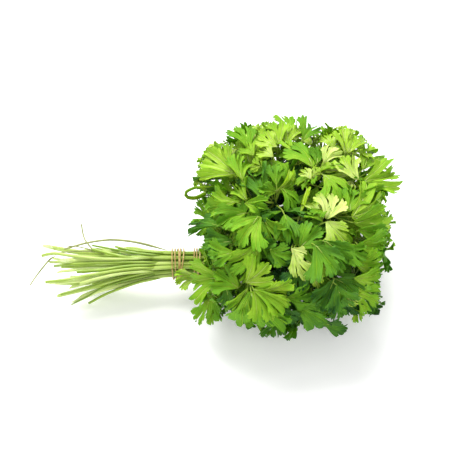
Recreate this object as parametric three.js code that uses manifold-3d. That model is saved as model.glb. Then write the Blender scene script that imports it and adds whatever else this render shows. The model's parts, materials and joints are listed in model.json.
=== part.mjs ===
// A tied bunch of flat-leaf parsley, lying on its side on a flat surface.
//
// Millimetres, +Z up, the surface at Z 0. The stalks run along X: their cut ends fan out towards -X, two elastic
// bands hold them where they are narrowest, and the leafy head fills a rounded box towards +X. The origin is the
// middle of the whole bunch's box, at the surface.
//
// Each leafy stem is one solid: a stalk with sprigs, and on each sprig a leaf of three lobed leaflets. The stalks
// are laid out on a sunflower's spiral, so they never meet. A leaf is tried in one seeded pose after another until
// it is clear of all that was placed before it.

import * as THREE from "three";
import { mergeVertices } from "three/addons/utils/BufferGeometryUtils.js";
import Module from "manifold-3d";

// ---- Driving dimensions. A pair is the middle and the spread of what varies from one to the next. ----

const STEMS = 26;
const SEED = 21;

// The tie's middle. The neck is measured along X from it, and the fan and the head from the neck's two ends.
const TIE = new THREE.Vector3(-35, -18.2, 30);

// Stalks: straight and side by side in the neck, fanned out behind it.
const STALK_R = 1.45;
const STALK_SIDES = 5;
const NECK_R = 10.2;
const NECK_BACK = -9;
const NECK_FRONT = 21;
const FAN = new THREE.Vector3(-91, -4.5, -7.5);
const FAN_R = 27;
const FAN_REACH = [0.88, 0.25];
const FAN_BEND = 1.2;
const FAN_STEPS = 4;

// The head: the rounded box that the leaves fill, how far round it the forks go, and how deep in it they are.
const HEAD = new THREE.Vector3(72, 18, 26);
const HEAD_HALF = new THREE.Vector3(86, 99, 60);
const HEAD_SQUARENESS = 2.8;
const WIDEST_FORK = 2.45;
const FORK_DEPTH = 0.6;
const RISE_REACH = [1, 0.12];
const RISE_BEND = 1.4;
const RISE_STEPS = 5;

// Sprigs: three at each fork, and on the outer stems one more at a lower node.
const SPRIG_HALF = 0.8;
const SPRIG_ROOT = 1;
const SPRIG_LONG = [17, 6];
const SPRIG_TURN = [0.95, 0.3];
const SPRIG_WAVER = [0, 0.35];
const SPRIG_LEAD = 1.2;
const LOW_NODE = 2;
const LOW_FROM = 16;

// Leaves.
const BLADE_HALF = 0.42;
const LEAF_SIZE = [1, 0.15];
const LEAFLET_LONG = 27;
const SIDE_LEAFLET = 0.8;
const SIDE_FOOT = 3;
const END_FOOT = 12;
const SIDE_TURN = [1.15, 0.15];
const SIDE_LIFT = [0.1, 0.3];
const END_LIFT = [-0.1, 0.25];
const FOLD = [0.15, 0.2];
const CURL = [0.15, 0.2];
const SCATTER = 0.6;
const SWERVE = 0.3;
const FACE_UP = 0.4;
const FACE_ASIDE = 0.7;

// Half of a leaflet, foot to tip, as [across, along] in leaflet lengths, and the point where its midrib bends.
const END_HALF = [[0.45, 0.37], [0.36, 0.5], [0.47, 0.68], [0.18, 0.6], [0.26, 0.84]];
const SIDE_HALF = [[0.42, 0.5], [0.2, 0.56], [0.26, 0.82]];
const MIDRIB = 0.42;

// Placing. A leaf that is nearly level and would dip a little below the surface lies flat on it instead.
const TRIES = 60;
const SHRINK = 0.4;
const GAP = 0.55;
const BEAD_STEP = 2.4;
const LEVEL = 0.8;
const DEEPEST_DIP = 14;
const LOWEST_LEAF = 0.3;
const LOWEST_STALK = 1;
const STEEPEST = 0.75;

// Bands: each a closed loop wound several times, whose last turn is lifted and crosses back over the others.
const BANDS = [
  { name: "wide_band", middle: 0, turns: 5, pitch: 2.5 },
  { name: "narrow_band", middle: 15.5, turns: 3, pitch: 2.3 },
];
const BAND_R = 0.6;
const BAND_GAP = 0.4;
const BAND_LIFT = 1.5;
const BAND_RAMP = 1.6;
const BAND_RETURN = 0.8;
const BAND_SIDES = 5;
const BAND_STEPS = 18;

const LEAF_GREEN = new THREE.MeshStandardMaterial({ color: 0x5f9a24, roughness: 0.5, metalness: 0 });
const BAND_TAN = new THREE.MeshStandardMaterial({ color: 0xb5803f, roughness: 0.65, metalness: 0 });

const UP = new THREE.Vector3(0, 0, 1);
const RIGHT = new THREE.Vector3(1, 0, 0);
const GOLDEN_ANGLE = Math.PI * (3 - Math.sqrt(5));

// ---- Small tools ----

// A stream of numbers from 0 to 1 that is the same on every run.
function seeded(seed) {
  let state = seed;
  return () => {
    state = (state + 0x6d2b79f5) >>> 0;
    let mixed = Math.imul(state ^ (state >>> 15), state | 1);
    mixed ^= mixed + Math.imul(mixed ^ (mixed >>> 7), mixed | 61);
    return ((mixed ^ (mixed >>> 14)) >>> 0) / 4294967296;
  };
}

const random = seeded(SEED);

// A drawn number, at most `spread` from `middle`.
const draw = ([middle, spread]) => middle + spread * (2 * random() - 1);

const drawVector = (length) => {
  const side = [0, length];
  return new THREE.Vector3(draw(side), draw(side), draw(side));
};

// The part of v that is square to the direction d, at length 1.
const squareTo = (v, d) => v.clone().addScaledVector(d, -v.dot(d)).normalize();

const turned = (v, axis, angle) => v.clone().applyAxisAngle(axis, angle);

// Points at most BEAD_STEP apart on straight runs between the given ones.
function beadsAlong(points) {
  const beads = [points[0]];
  for (let i = 1; i < points.length; i++) {
    const n = Math.ceil(points[i].distanceTo(points[i - 1]) / BEAD_STEP);
    for (let j = 1; j <= n; j++) {
      beads.push(points[i - 1].clone().lerp(points[i], j / n));
    }
  }
  return beads;
}

// ---- Stalks ----

// How far out a point is in a rounded box that reaches 1 along each axis: 1 on its surface.
function bulge(v) {
  const sum = v.toArray().reduce((total, x) => total + Math.abs(x) ** HEAD_SQUARENESS, 0);
  return sum ** (1 / HEAD_SQUARENESS);
}

// A curve that leaves `start` along X and ends at the share `reach` of the way. The whole way is `along` X and
// `aside` square to it. All curves also sway alike towards `middle`, which keeps them clear of each other.
function strand(start, along, aside, middle, bend, reach, steps) {
  const at = (u) => {
    const sway = THREE.MathUtils.smoothstep((along * u) / middle.x, 0, 1);
    const point = start.clone().addScaledVector(aside, u ** bend);
    return point.add(new THREE.Vector3(along * u, middle.y * sway, middle.z * sway));
  };
  const points = [];
  for (let i = 0; i <= steps; i++) {
    points.push(at((reach * i) / steps));
  }
  const heading = at(reach).sub(at(0.95 * reach)).normalize();
  return { points, heading };
}

// Stalk k, from its cut end to its fork. It holds the path, its two nodes, its heading at the fork, the head's
// outward direction there, and the direction that its sprigs spread round.
function planStalk(k) {
  const turn = k * GOLDEN_ANGLE;
  const share = (k + 0.5) / STEMS;
  const across = new THREE.Vector3(0, Math.cos(turn), Math.sin(turn));
  const neck = across.clone().multiplyScalar(NECK_R * Math.sqrt(share));
  const back = neck.clone().add(TIE);
  const front = back.clone();
  back.x += NECK_BACK;
  front.x += NECK_FRONT;

  const spread = across.clone().multiplyScalar(FAN_R * Math.sqrt(share)).sub(neck);
  const tail = strand(back, FAN.x, spread, FAN, FAN_BEND, draw(FAN_REACH), FAN_STEPS);

  const angle = Math.acos(1 - share * (1 - Math.cos(WIDEST_FORK)));
  const ball = across.clone().multiplyScalar(Math.sin(angle));
  ball.x = Math.cos(angle);
  const fork = ball.clone().multiply(HEAD_HALF).multiplyScalar(FORK_DEPTH / bulge(ball));
  const along = HEAD.x + fork.x;
  const rise = strand(front, along, fork.setX(0).sub(neck), HEAD, RISE_BEND, draw(RISE_REACH), RISE_STEPS);
  const outward = ball.divide(HEAD_HALF).normalize();

  const path = [...tail.points.reverse(), ...rise.points];
  for (const point of path) {
    point.z = Math.max(point.z, LOWEST_STALK);
  }
  return {
    path,
    fork: rise.points[RISE_STEPS],
    low: rise.points[LOW_NODE],
    heading: rise.heading,
    outward,
    lead: outward.clone().multiplyScalar(SPRIG_LEAD).add(rise.heading).normalize(),
    leaves: [],
  };
}

// ---- Leaves ----

// A thin sheet of triangles, laid flat where it would dip below the surface.
class Sheet {
  constructor(up) {
    this.up = up;
    this.points = [];
    this.halves = [];
    this.faces = [];
    this.dip = 0;
  }

  // Adds a point and half the thickness there.
  add(point, half) {
    this.dip = Math.max(this.dip, LOWEST_LEAF - point.z);
    point.z = Math.max(point.z, LOWEST_LEAF);
    this.points.push(point);
    this.halves.push(half);
    return this.points.length - 1;
  }

  // Its edges that only one face has, each running the way that its face does.
  rim() {
    const edges = this.faces.flatMap(([a, b, c]) => [[a, b], [b, c], [c, a]]);
    const known = new Set(edges.map(String));
    return edges.filter(([a, b]) => !known.has(`${b},${a}`));
  }
}

// Adds a leaflet whose foot is the edge from point `left` to `right`. Its two halves fold up along the midrib, its
// tip curls down, and `place` turns a point given as across, along and up into one in the bunch.
function addLeaflet(sheet, left, right, half, place) {
  const fold = draw(FOLD);
  const curl = draw(CURL);
  const at = (across, along) =>
    sheet.add(place(new THREE.Vector3(across, along, fold * Math.abs(across) - curl * along ** 2)), BLADE_HALF);
  const middle = at(0, MIDRIB);
  const tip = at(0, 1);
  sheet.faces.push([left, right, middle]);
  for (const side of [1, -1]) {
    const put = (a, b, c) => sheet.faces.push(side > 0 ? [a, b, c] : [a, c, b]);
    const rim = half.map(([across, along]) => at(side * across, along));
    const sinus = rim[rim.length - 2];
    put(side > 0 ? right : left, rim[0], middle);
    for (let i = 1; i < rim.length - 1; i++) {
      put(middle, rim[i - 1], rim[i]);
    }
    put(middle, sinus, tip);
    put(sinus, rim[rim.length - 1], tip);
  }
}

// One sprig and its leaf as a sheet: a narrow strip along `path`, then a rib with a leaflet at its end and one on
// either side.
function planLeaf(path, along, up, size) {
  const across = new THREE.Vector3().crossVectors(along, up);
  const foot = path[path.length - 1];
  const place = (v) =>
    foot.clone().addScaledVector(across, v.x).addScaledVector(along, v.y).addScaledVector(up, v.z);
  const sheet = new Sheet(up);
  const strip = path.map((point) => ({ point, half: SPRIG_HALF }));
  for (const y of [SIDE_FOOT - SPRIG_HALF, SIDE_FOOT + SPRIG_HALF, END_FOOT * size]) {
    strip.push({ point: place(new THREE.Vector3(0, y, 0)), half: BLADE_HALF });
  }
  strip.forEach(({ point, half }, i) => {
    const left = sheet.add(point.clone().addScaledVector(across, -SPRIG_HALF), half);
    const right = sheet.add(point.clone().addScaledVector(across, SPRIG_HALF), half);
    if (i > 0) {
      sheet.faces.push([left - 2, right - 2, right], [left - 2, right, left]);
    }
  });
  const last = sheet.points.length - 1;

  const endLong = LEAFLET_LONG * size;
  const endLift = draw(END_LIFT);
  const endFoot = new THREE.Vector3(0, END_FOOT * size, 0);
  addLeaflet(sheet, last - 1, last, END_HALF, (v) =>
    place(turned(v.multiplyScalar(endLong), RIGHT, endLift).add(endFoot)),
  );
  for (const side of [1, -1]) {
    const lift = draw(SIDE_LIFT);
    const turn = -side * draw(SIDE_TURN);
    const sideFoot = new THREE.Vector3(side * SPRIG_HALF, SIDE_FOOT, 0);
    const [left, right] = side > 0 ? [last - 2, last - 4] : [last - 5, last - 3];
    addLeaflet(sheet, left, right, SIDE_HALF, (v) =>
      place(turned(turned(v.multiplyScalar(SIDE_LEAFLET * endLong), RIGHT, lift), UP, turn).add(sideFoot)),
    );
  }
  return sheet;
}

// A sprig in a drawn pose, rooted in the stalk at `node`. It turns to one side of `lead`, or at side 0 goes nearly
// straight on. Its leaf faces out of the head, but not so squarely that the sprig would meet it from behind.
function planSprig(stem, node, lead, side, shrink) {
  const over = squareTo(drawVector(SCATTER).add(stem.outward), lead);
  const toward = turned(lead, over, side ? side * draw(SPRIG_TURN) : draw(SPRIG_WAVER));
  const face = drawVector(SCATTER).add(stem.outward).addScaledVector(UP, FACE_UP).normalize();
  face.addScaledVector(toward, -FACE_ASIDE * face.dot(toward)).normalize();
  const along = squareTo(drawVector(SWERVE).add(toward), face);
  const root = node.clone().addScaledVector(stem.heading, -SPRIG_ROOT);
  const end = node.clone().addScaledVector(toward, draw(SPRIG_LONG) * shrink);
  const sheet = planLeaf([root, end], along, face, draw(LEAF_SIZE) * shrink);
  return { path: [root, end], sheet, steep: Math.abs(face.dot(toward)) };
}

// ---- Placing leaves clear of each other ----

// What takes up room: a leaf's triangles and beads on its rim, and beads along a stalk or sprig.
function roomOf(owner, path, radius, sheet) {
  const room = { owner, faces: [], rim: [], thread: beadsAlong(path), radius };
  if (sheet) {
    const at = (i) => sheet.points[i];
    const sprig = 2 * (path.length - 1);
    const rim = sheet.rim().filter(([a, b]) => Math.min(a, b) >= sprig);
    room.faces = sheet.faces.slice(sprig).map(([a, b, c]) => new THREE.Triangle(at(a), at(b), at(c)));
    room.rim = rim.flatMap(([a, b]) => beadsAlong([at(a), at(b)]));
  }
  const box = new THREE.Box3().setFromPoints([...room.rim, ...room.thread]);
  room.ball = box.getBoundingSphere(new THREE.Sphere());
  return room;
}

const nearest = new THREE.Vector3();

const nearFaces = (beads, faces, apart) =>
  beads.some((p) => faces.some((face) => face.closestPointToPoint(p, nearest).distanceToSquared(p) < apart ** 2));

const nearBeads = (beads, others, apart) => beads.some((p) => others.some((q) => p.distanceToSquared(q) < apart ** 2));

// Whether two rooms come too near each other. On one stem only the leaves must keep apart.
function clash(a, b) {
  if (a.ball.center.distanceTo(b.ball.center) > a.ball.radius + b.ball.radius + 2 * BLADE_HALF + GAP) {
    return false;
  }
  const kin = a.owner === b.owner;
  const sheets = 2 * BLADE_HALF + GAP;
  return (
    nearFaces(a.rim, b.faces, sheets) ||
    nearFaces(b.rim, a.faces, sheets) ||
    nearFaces(b.thread, a.faces, kin ? 0 : b.radius + BLADE_HALF + GAP) ||
    nearFaces(a.thread, b.faces, kin ? 0 : a.radius + BLADE_HALF + GAP) ||
    nearBeads(a.thread, b.thread, kin ? 0 : a.radius + b.radius + GAP)
  );
}

// Whether a leaf is inside the head and doesn't dip too far below the surface.
function fits(sheet, room) {
  const centre = HEAD.clone().add(TIE);
  centre.x += NECK_FRONT;
  const inside = room.rim.every((p) => bulge(p.clone().sub(centre).divide(HEAD_HALF)) < 1);
  const level = Math.abs(sheet.up.z) > LEVEL;
  return inside && (sheet.dip === 0 || (level && sheet.dip < DEEPEST_DIP));
}

// Tries a leaf in one pose after another, smaller and smaller, and keeps the first that has room.
function placeLeaf(taken, stem, node, lead, side) {
  for (let t = 0; t < TRIES; t++) {
    const { path, sheet, steep } = planSprig(stem, node, lead, side, 1 - (SHRINK * t) / TRIES);
    const room = roomOf(stem, path, Math.SQRT2 * SPRIG_HALF, sheet);
    if (steep < STEEPEST && fits(sheet, room) && !taken.some((other) => clash(room, other))) {
      taken.push(room);
      stem.leaves.push(sheet);
      return;
    }
  }
}

// Every stem with the leaves that found room.
function planBunch() {
  const stems = [];
  for (let k = 0; k < STEMS; k++) {
    stems.push(planStalk(k));
  }
  const taken = stems.map((stem) => roomOf(stem, stem.path, STALK_R));
  for (const side of [0, -1, 1]) {
    stems.forEach((stem) => placeLeaf(taken, stem, stem.fork, stem.lead, side));
  }
  stems.slice(LOW_FROM).forEach((stem) => placeLeaf(taken, stem, stem.low, stem.outward, 0));
  return stems;
}

// ---- Solids ----

const wasm = await Module();
wasm.setup();

// A closed geometry as a solid that can be joined and cut.
function solidOf(geometry) {
  geometry.deleteAttribute("normal");
  geometry.deleteAttribute("uv");
  const merged = mergeVertices(geometry, 1e-4);
  return new wasm.Manifold(
    new wasm.Mesh({
      numProp: 3,
      vertProperties: merged.attributes.position.array,
      triVerts: new Uint32Array(merged.index.array),
    }),
  );
}

function geometryOf(solid) {
  const mesh = solid.getMesh();
  const geometry = new THREE.BufferGeometry();
  geometry.setAttribute("position", new THREE.BufferAttribute(mesh.vertProperties, mesh.numProp));
  geometry.setIndex(new THREE.BufferAttribute(mesh.triVerts, 1));
  return geometry;
}

// A path of straight runs, with one step of an extrusion for each.
class Runs extends THREE.Curve {
  constructor(points) {
    super();
    this.points = points;
  }

  getUtoTmapping(u) {
    return u;
  }

  getPoint(t, target = new THREE.Vector3()) {
    const at = t * (this.points.length - 1);
    const i = Math.min(Math.floor(at), this.points.length - 2);
    return target.lerpVectors(this.points[i], this.points[i + 1], at - i);
  }
}

// A stalk along its path, with flat ends.
function stalk(path) {
  const corners = [];
  for (let i = 0; i < STALK_SIDES; i++) {
    const angle = (2 * Math.PI * i) / STALK_SIDES;
    corners.push(new THREE.Vector2(STALK_R * Math.cos(angle), STALK_R * Math.sin(angle)));
  }
  return new THREE.ExtrudeGeometry(new THREE.Shape(corners), {
    extrudePath: new Runs(path),
    steps: path.length - 1,
  });
}

// A sheet given its thickness: faces above and below, and a wall between them along its rim.
function blade(sheet) {
  const n = sheet.points.length;
  const shifted = (side) =>
    sheet.points.flatMap((p, i) => p.clone().addScaledVector(sheet.up, side * sheet.halves[i]).toArray());
  const index = [];
  for (const [a, b, c] of sheet.faces) {
    index.push(a, b, c, a + n, c + n, b + n);
  }
  for (const [a, b] of sheet.rim()) {
    index.push(b, a, a + n, b, a + n, b + n);
  }
  const geometry = new THREE.BufferGeometry();
  geometry.setAttribute("position", new THREE.Float32BufferAttribute([...shifted(1), ...shifted(-1)], 3));
  geometry.setIndex(index);
  return geometry;
}

// All that is below the surface, as far as the bunch could reach.
const SLAB = 600;
const ground = solidOf(new THREE.BoxGeometry(SLAB, SLAB, SLAB).translate(0, 0, -SLAB / 2));

// One leafy stem in one body, cut flat where its thickness would reach below the surface.
function leafyStem(stem) {
  let whole = solidOf(stalk(stem.path));
  for (const sheet of stem.leaves) {
    whole = whole.add(solidOf(blade(sheet)));
  }
  const bodies = whole.subtract(ground).decompose();
  bodies.sort((a, b) => b.volume() - a.volume());
  return geometryOf(bodies[0]);
}

// ---- Bands ----

// The middle of a band's strand, along its whole closed loop.
class Winding extends THREE.Curve {
  constructor(band) {
    super();
    this.band = band;
    this.arcLengthDivisions = 200 * band.turns;
  }

  getPoint(t, target = new THREE.Vector3()) {
    const { middle, turns, pitch } = this.band;
    const angle = 2 * Math.PI * turns * t;
    const forth = turns - BAND_RETURN;
    const back = Math.max(0, (turns * t - forth) / BAND_RETURN);
    const along = back > 0 ? 0.5 - THREE.MathUtils.smoothstep(back, 0, 1) : (turns * t) / forth - 0.5;
    const lift = BAND_LIFT * Math.min(1, BAND_RAMP * Math.sin(Math.PI * back));
    const r = NECK_R + STALK_R + BAND_GAP + BAND_R + lift;
    return target.set(middle + along * pitch * (turns - 1), r * Math.cos(angle), r * Math.sin(angle)).add(TIE);
  }
}

const woundBand = (band) =>
  new THREE.TubeGeometry(new Winding(band), BAND_STEPS * band.turns, BAND_R, BAND_SIDES, true);

// ---- The bunch ----

function named(name, geometry, material) {
  const mesh = new THREE.Mesh(geometry, material);
  mesh.name = name;
  return mesh;
}

const bunch = new THREE.Group();
planBunch().forEach((stem, k) => {
  bunch.add(named(`leafy_stem_${String(k + 1).padStart(2, "0")}`, leafyStem(stem), LEAF_GREEN));
});
for (const band of BANDS) {
  bunch.add(named(band.name, woundBand(band), BAND_TAN));
}

export default bunch;
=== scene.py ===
"""A tied bunch of flat-leaf parsley: leafy stems, loose stalks and dry strands, two bands, and the stage."""

import json
import math

import bmesh
import bpy
import numpy as np
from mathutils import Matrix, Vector
from mathutils.bvhtree import BVHTree

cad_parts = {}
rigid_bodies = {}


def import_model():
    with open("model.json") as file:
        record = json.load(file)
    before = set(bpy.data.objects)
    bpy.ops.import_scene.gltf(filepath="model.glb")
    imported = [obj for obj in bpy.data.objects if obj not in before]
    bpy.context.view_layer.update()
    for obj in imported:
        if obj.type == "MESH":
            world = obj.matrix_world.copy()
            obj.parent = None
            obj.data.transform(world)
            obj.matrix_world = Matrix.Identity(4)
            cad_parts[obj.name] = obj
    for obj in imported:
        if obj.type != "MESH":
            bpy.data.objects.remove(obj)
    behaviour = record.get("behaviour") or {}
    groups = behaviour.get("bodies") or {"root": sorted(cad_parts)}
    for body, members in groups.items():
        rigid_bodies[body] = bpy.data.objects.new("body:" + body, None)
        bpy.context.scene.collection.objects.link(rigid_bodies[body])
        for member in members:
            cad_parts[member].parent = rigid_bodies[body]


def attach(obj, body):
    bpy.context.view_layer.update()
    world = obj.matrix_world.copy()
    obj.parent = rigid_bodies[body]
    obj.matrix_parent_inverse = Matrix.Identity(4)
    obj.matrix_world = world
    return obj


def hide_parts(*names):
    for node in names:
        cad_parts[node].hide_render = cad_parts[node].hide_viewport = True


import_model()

bl_info = {
    "name": "Parsley bunch",
    "version": (1, 0, 0),
    "blender": (4, 5, 0),
    "location": "3D View > Sidebar > Parsley",
    "description": "Builds a tied bunch of flat-leaf parsley lying on a pale floor",
    "category": "Add Mesh",
}

BODY = "root"
LEAF_SLOT = "leaf"
BAND_SLOT = "band"
MM = 0.001

# ---- The bunch's plan, in millimetres. A pair is the middle and the spread of what varies. ----

STEMS = 26
SEED = 21
TIE = np.array([-35, -18.2, 30])

STALK_R = 1.45
NECK_R = 10.2
NECK_BACK = -9
NECK_FRONT = 21
FAN = np.array([-91, -4.5, -7.5])
FAN_R = 27
FAN_REACH = (0.88, 0.25)
FAN_BEND = 1.2
FAN_STEPS = 4
HEADING_FROM = 0.95

HEAD = np.array([72, 18, 26])
HEAD_HALF = np.array([86, 99, 60])
HEAD_MIDDLE = HEAD + TIE + [NECK_FRONT, 0, 0]
HEAD_SQUARENESS = 2.8
WIDEST_FORK = 2.45
FORK_DEPTH = 0.6
RISE_REACH = (1, 0.12)
RISE_BEND = 1.4
RISE_STEPS = 5

SPRIG_HALF = 0.8
SPRIG_ROOT = 1
SPRIG_LONG = (17, 6)
SPRIG_TURN = (0.95, 0.3)
SPRIG_WAVER = (0, 0.35)
SPRIG_LEAD = 1.2
LOW_NODE = 2
LOW_FROM = 16

BLADE_HALF = 0.42
LEAF_SIZE = (1, 0.15)
LEAFLET_LONG = 27
SIDE_LEAFLET = 0.8
SIDE_FOOT = 3
END_FOOT = 12
SIDE_TURN = (1.15, 0.15)
SIDE_LIFT = (0.1, 0.3)
END_LIFT = (-0.1, 0.25)
FOLD = (0.15, 0.2)
CURL = (0.15, 0.2)
SCATTER = 0.6
SWERVE = 0.3
FACE_UP = 0.4
FACE_ASIDE = 0.7

END_HALF = np.array([[0.45, 0.37], [0.36, 0.5], [0.47, 0.68], [0.18, 0.6], [0.26, 0.84]])
SIDE_HALF = np.array([[0.42, 0.5], [0.2, 0.56], [0.26, 0.82]])
MIDRIB = 0.42

TRIES = 60
SHRINK = 0.4
GAP = 0.55
BEAD_STEP = 2.4
LEVEL = 0.8
DEEPEST_DIP = 14
LOWEST_LEAF = 0.3
LOWEST_STALK = 1
STEEPEST = 0.75

BANDS = (("wide_band", 0, 5, 2.5), ("narrow_band", 15.5, 3, 2.3))
BAND_R = 0.6
BAND_GAP = 0.4
BAND_LIFT = 1.5
BAND_RAMP = 1.6
BAND_RETURN = 0.8
BAND_LEAN = 1.0
BAND_LEAN_WAVES = 0.37
BAND_LEAN_START = 1

UP = np.array([0.0, 0, 1])
RIGHT = np.array([1.0, 0, 0])
GOLDEN_ANGLE = math.pi * (3 - math.sqrt(5))
WORD = 0xFFFFFFFF


# ---- Small tools ----

class Stream:
    """A stream of numbers from 0 to 1 that is the same on every run."""

    def __init__(self, seed):
        self.state = seed

    def number(self):
        self.state = (self.state + 0x6D2B79F5) & WORD
        mixed = ((self.state ^ (self.state >> 15)) * (self.state | 1)) & WORD
        mixed ^= (mixed + ((mixed ^ (mixed >> 7)) * (mixed | 61))) & WORD
        return (mixed ^ (mixed >> 14)) / (WORD + 1)

    def near(self, pair):
        """A drawn number, at most the spread from the middle."""
        return pair[0] + pair[1] * (2 * self.number() - 1)

    def vector(self, length):
        return np.array([self.near((0, length)) for _ in range(3)])


def unit(v):
    return v / np.linalg.norm(v)


def square_to(v, d):
    """The part of v that is square to the direction d, at length 1."""
    return unit(v - d * (v @ d))


def turned(v, axis, angle):
    """v, or each row of v, turned about an axis of length 1."""
    along = np.asarray(v @ axis)[..., None] * axis
    return v * math.cos(angle) + np.cross(axis, v) * math.sin(angle) + along * (1 - math.cos(angle))


def smoothstep(x):
    x = np.clip(x, 0, 1)
    return x * x * (3 - 2 * x)


def bulge(v):
    """How far out a point is in a rounded box that reaches 1 along each axis: 1 on its surface."""
    return (np.abs(v) ** HEAD_SQUARENESS).sum(axis=-1) ** (1 / HEAD_SQUARENESS)


def in_head(places):
    """How far out in the head each place is: 0 in its middle, 1 on its surface."""
    return bulge((places - HEAD_MIDDLE) / HEAD_HALF)


def way_out(place):
    """The way from a place in the head straight out of it."""
    return unit((place - HEAD_MIDDLE) / HEAD_HALF**2)


def beads_along(points):
    """Points at most BEAD_STEP apart on straight runs between the given ones."""
    beads = [points[0]]
    for a, b in zip(points, points[1:]):
        n = math.ceil(np.linalg.norm(b - a) / BEAD_STEP)
        beads += [a + (b - a) * (j / n) for j in range(1, n + 1)]
    return beads


# ---- The plan of the stalks ----

def strand(start, along, aside, middle, bend, reach, steps):
    """A curve that leaves `start` along X. All curves sway alike towards `middle` and spread out `aside`."""
    def at(u):
        sway = smoothstep(along * u / middle[0])
        return start + aside * u**bend + [along * u, middle[1] * sway, middle[2] * sway]

    heading = unit(at(reach) - at(HEADING_FROM * reach))
    return [at(reach * i / steps) for i in range(steps + 1)], heading


class Stem:
    """One stalk, from its cut end to its fork, and the leaves on it."""

    def __init__(self, k, draws):
        turn = k * GOLDEN_ANGLE
        share = (k + 0.5) / STEMS
        across = np.array([0, math.cos(turn), math.sin(turn)])
        neck = across * NECK_R * math.sqrt(share)
        back = neck + TIE + [NECK_BACK, 0, 0]
        front = neck + TIE + [NECK_FRONT, 0, 0]
        spread = across * FAN_R * math.sqrt(share) - neck
        tail, _ = strand(back, FAN[0], spread, FAN, FAN_BEND, draws.near(FAN_REACH), FAN_STEPS)

        angle = math.acos(1 - share * (1 - math.cos(WIDEST_FORK)))
        ball = across * math.sin(angle) + [math.cos(angle), 0, 0]
        fork = ball * HEAD_HALF * FORK_DEPTH / bulge(ball)
        aside = fork * [0, 1, 1] - neck
        rise, self.heading = strand(
            front, HEAD[0] + fork[0], aside, HEAD, RISE_BEND, draws.near(RISE_REACH), RISE_STEPS)
        self.name = f"leafy_stem_{k + 1:02d}"
        self.path = np.array(tail[::-1] + rise)
        self.path[:, 2] = np.maximum(self.path[:, 2], LOWEST_STALK)
        self.rise = self.path[FAN_STEPS + 1:]
        self.outward = unit(ball / HEAD_HALF)
        self.lead = unit(self.outward * SPRIG_LEAD + self.heading)
        self.leaves = []


# ---- The plan of the leaves ----

class Leaflet:
    """One leaflet of a leaf: its place in the leaf's own frame, and how it folds and curls."""

    def __init__(self, draws, long, lift, turn, foot, half, edge):
        self.long, self.lift, self.turn, self.foot = long, lift, turn, np.array(foot)
        self.half, self.edge = half, edge
        self.fold = draws.near(FOLD)
        self.curl = draws.near(CURL)

    def at(self, flat):
        """Points given as across, along and rise, in leaflet lengths, as points in the leaf's frame."""
        across, along, rise = flat.T
        bent = np.stack([across, along, rise + self.fold * abs(across) - self.curl * along**2], 1)
        return turned(turned(bent * self.long, RIGHT, self.lift), UP, self.turn) + self.foot


class Leaf:
    """A sprig that carries three leaflets, in a drawn pose."""
    shape = tone = None

    def __init__(self, draws, root, foot, along, up, size):
        self.root, self.foot, self.along, self.up, self.size = root, foot, along, up, size
        self.across = np.cross(along, up)
        self.rib = [[0, SIDE_FOOT, 0], [0, END_FOOT * size, 0]]
        long = LEAFLET_LONG * size
        end_lift = draws.near(END_LIFT)
        end_foot = [0, END_FOOT * size, 0]
        self.leaflets = [Leaflet(draws, long, end_lift, 0, end_foot, END_HALF, (-2, -1))]
        for side in (1, -1):
            lift = draws.near(SIDE_LIFT)
            turn = -side * draws.near(SIDE_TURN)
            edge = (-3, -5) if side > 0 else (-6, -4)
            side_foot = [side * SPRIG_HALF, SIDE_FOOT, 0]
            self.leaflets.append(
                Leaflet(draws, SIDE_LEAFLET * long, lift, turn, side_foot, SIDE_HALF, edge))

    def place(self, points):
        """Points in the leaf's frame as points in the bunch."""
        return self.foot + points @ np.array([self.across, self.along, self.up])

    def sheet(self):
        """The leaf as a coarse sheet: its points, its triangles, and how far it dips under the surface."""
        rib = [[0, y, 0] for y in (SIDE_FOOT - SPRIG_HALF, SIDE_FOOT + SPRIG_HALF, END_FOOT * self.size)]
        strip = np.array([self.root, self.foot, *self.place(np.array(rib))])
        aside = self.across * SPRIG_HALF
        points = [p + side * aside for p in strip for side in (-1, 1)]
        faces = []
        for left in range(2, 10, 2):
            faces += [(left - 2, left - 1, left + 1), (left - 2, left + 1, left)]
        strip_end = len(points)
        for leaflet in self.leaflets:
            middle = len(points)
            tip = middle + 1
            left, right = (strip_end + e for e in leaflet.edge)
            outline = [[0, MIDRIB], [0, 1], *leaflet.half, *(leaflet.half * [-1, 1])]
            flat = np.column_stack([outline, np.zeros(len(outline))])
            points += list(self.place(leaflet.at(flat)))
            faces.append((left, right, middle))
            n = len(leaflet.half)
            first, second = range(tip + 1, tip + 1 + n), range(tip + 1 + n, tip + 1 + 2 * n)
            for base, rim in ((right, first), (left, second)):
                chain = [base, *rim[:-1]]
                faces += [(middle, a, b) for a, b in zip(chain, chain[1:])]
                faces += [(middle, rim[-2], tip), (rim[-2], rim[-1], tip)]
        points = np.array(points)
        dip = max(0, LOWEST_LEAF - points[:, 2].min())
        points[:, 2] = np.maximum(points[:, 2], LOWEST_LEAF)
        return points, faces, dip


def rim_of(faces):
    """The edges that only one face has."""
    seen = {}
    for face in faces:
        for a, b in zip(face, face[1:] + face[:1]):
            key = (min(a, b), max(a, b))
            seen[key] = seen.get(key, 0) + 1
    return [edge for edge, times in seen.items() if times == 1]


def posed(draws, toward, outward, scatter):
    """Which way a leaf faces and which way it runs, on a sprig that runs `toward`."""
    face = unit(draws.vector(scatter) + outward + UP * FACE_UP)
    face = unit(face - toward * FACE_ASIDE * (face @ toward))
    return face, square_to(draws.vector(SWERVE) + toward, face)


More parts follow.
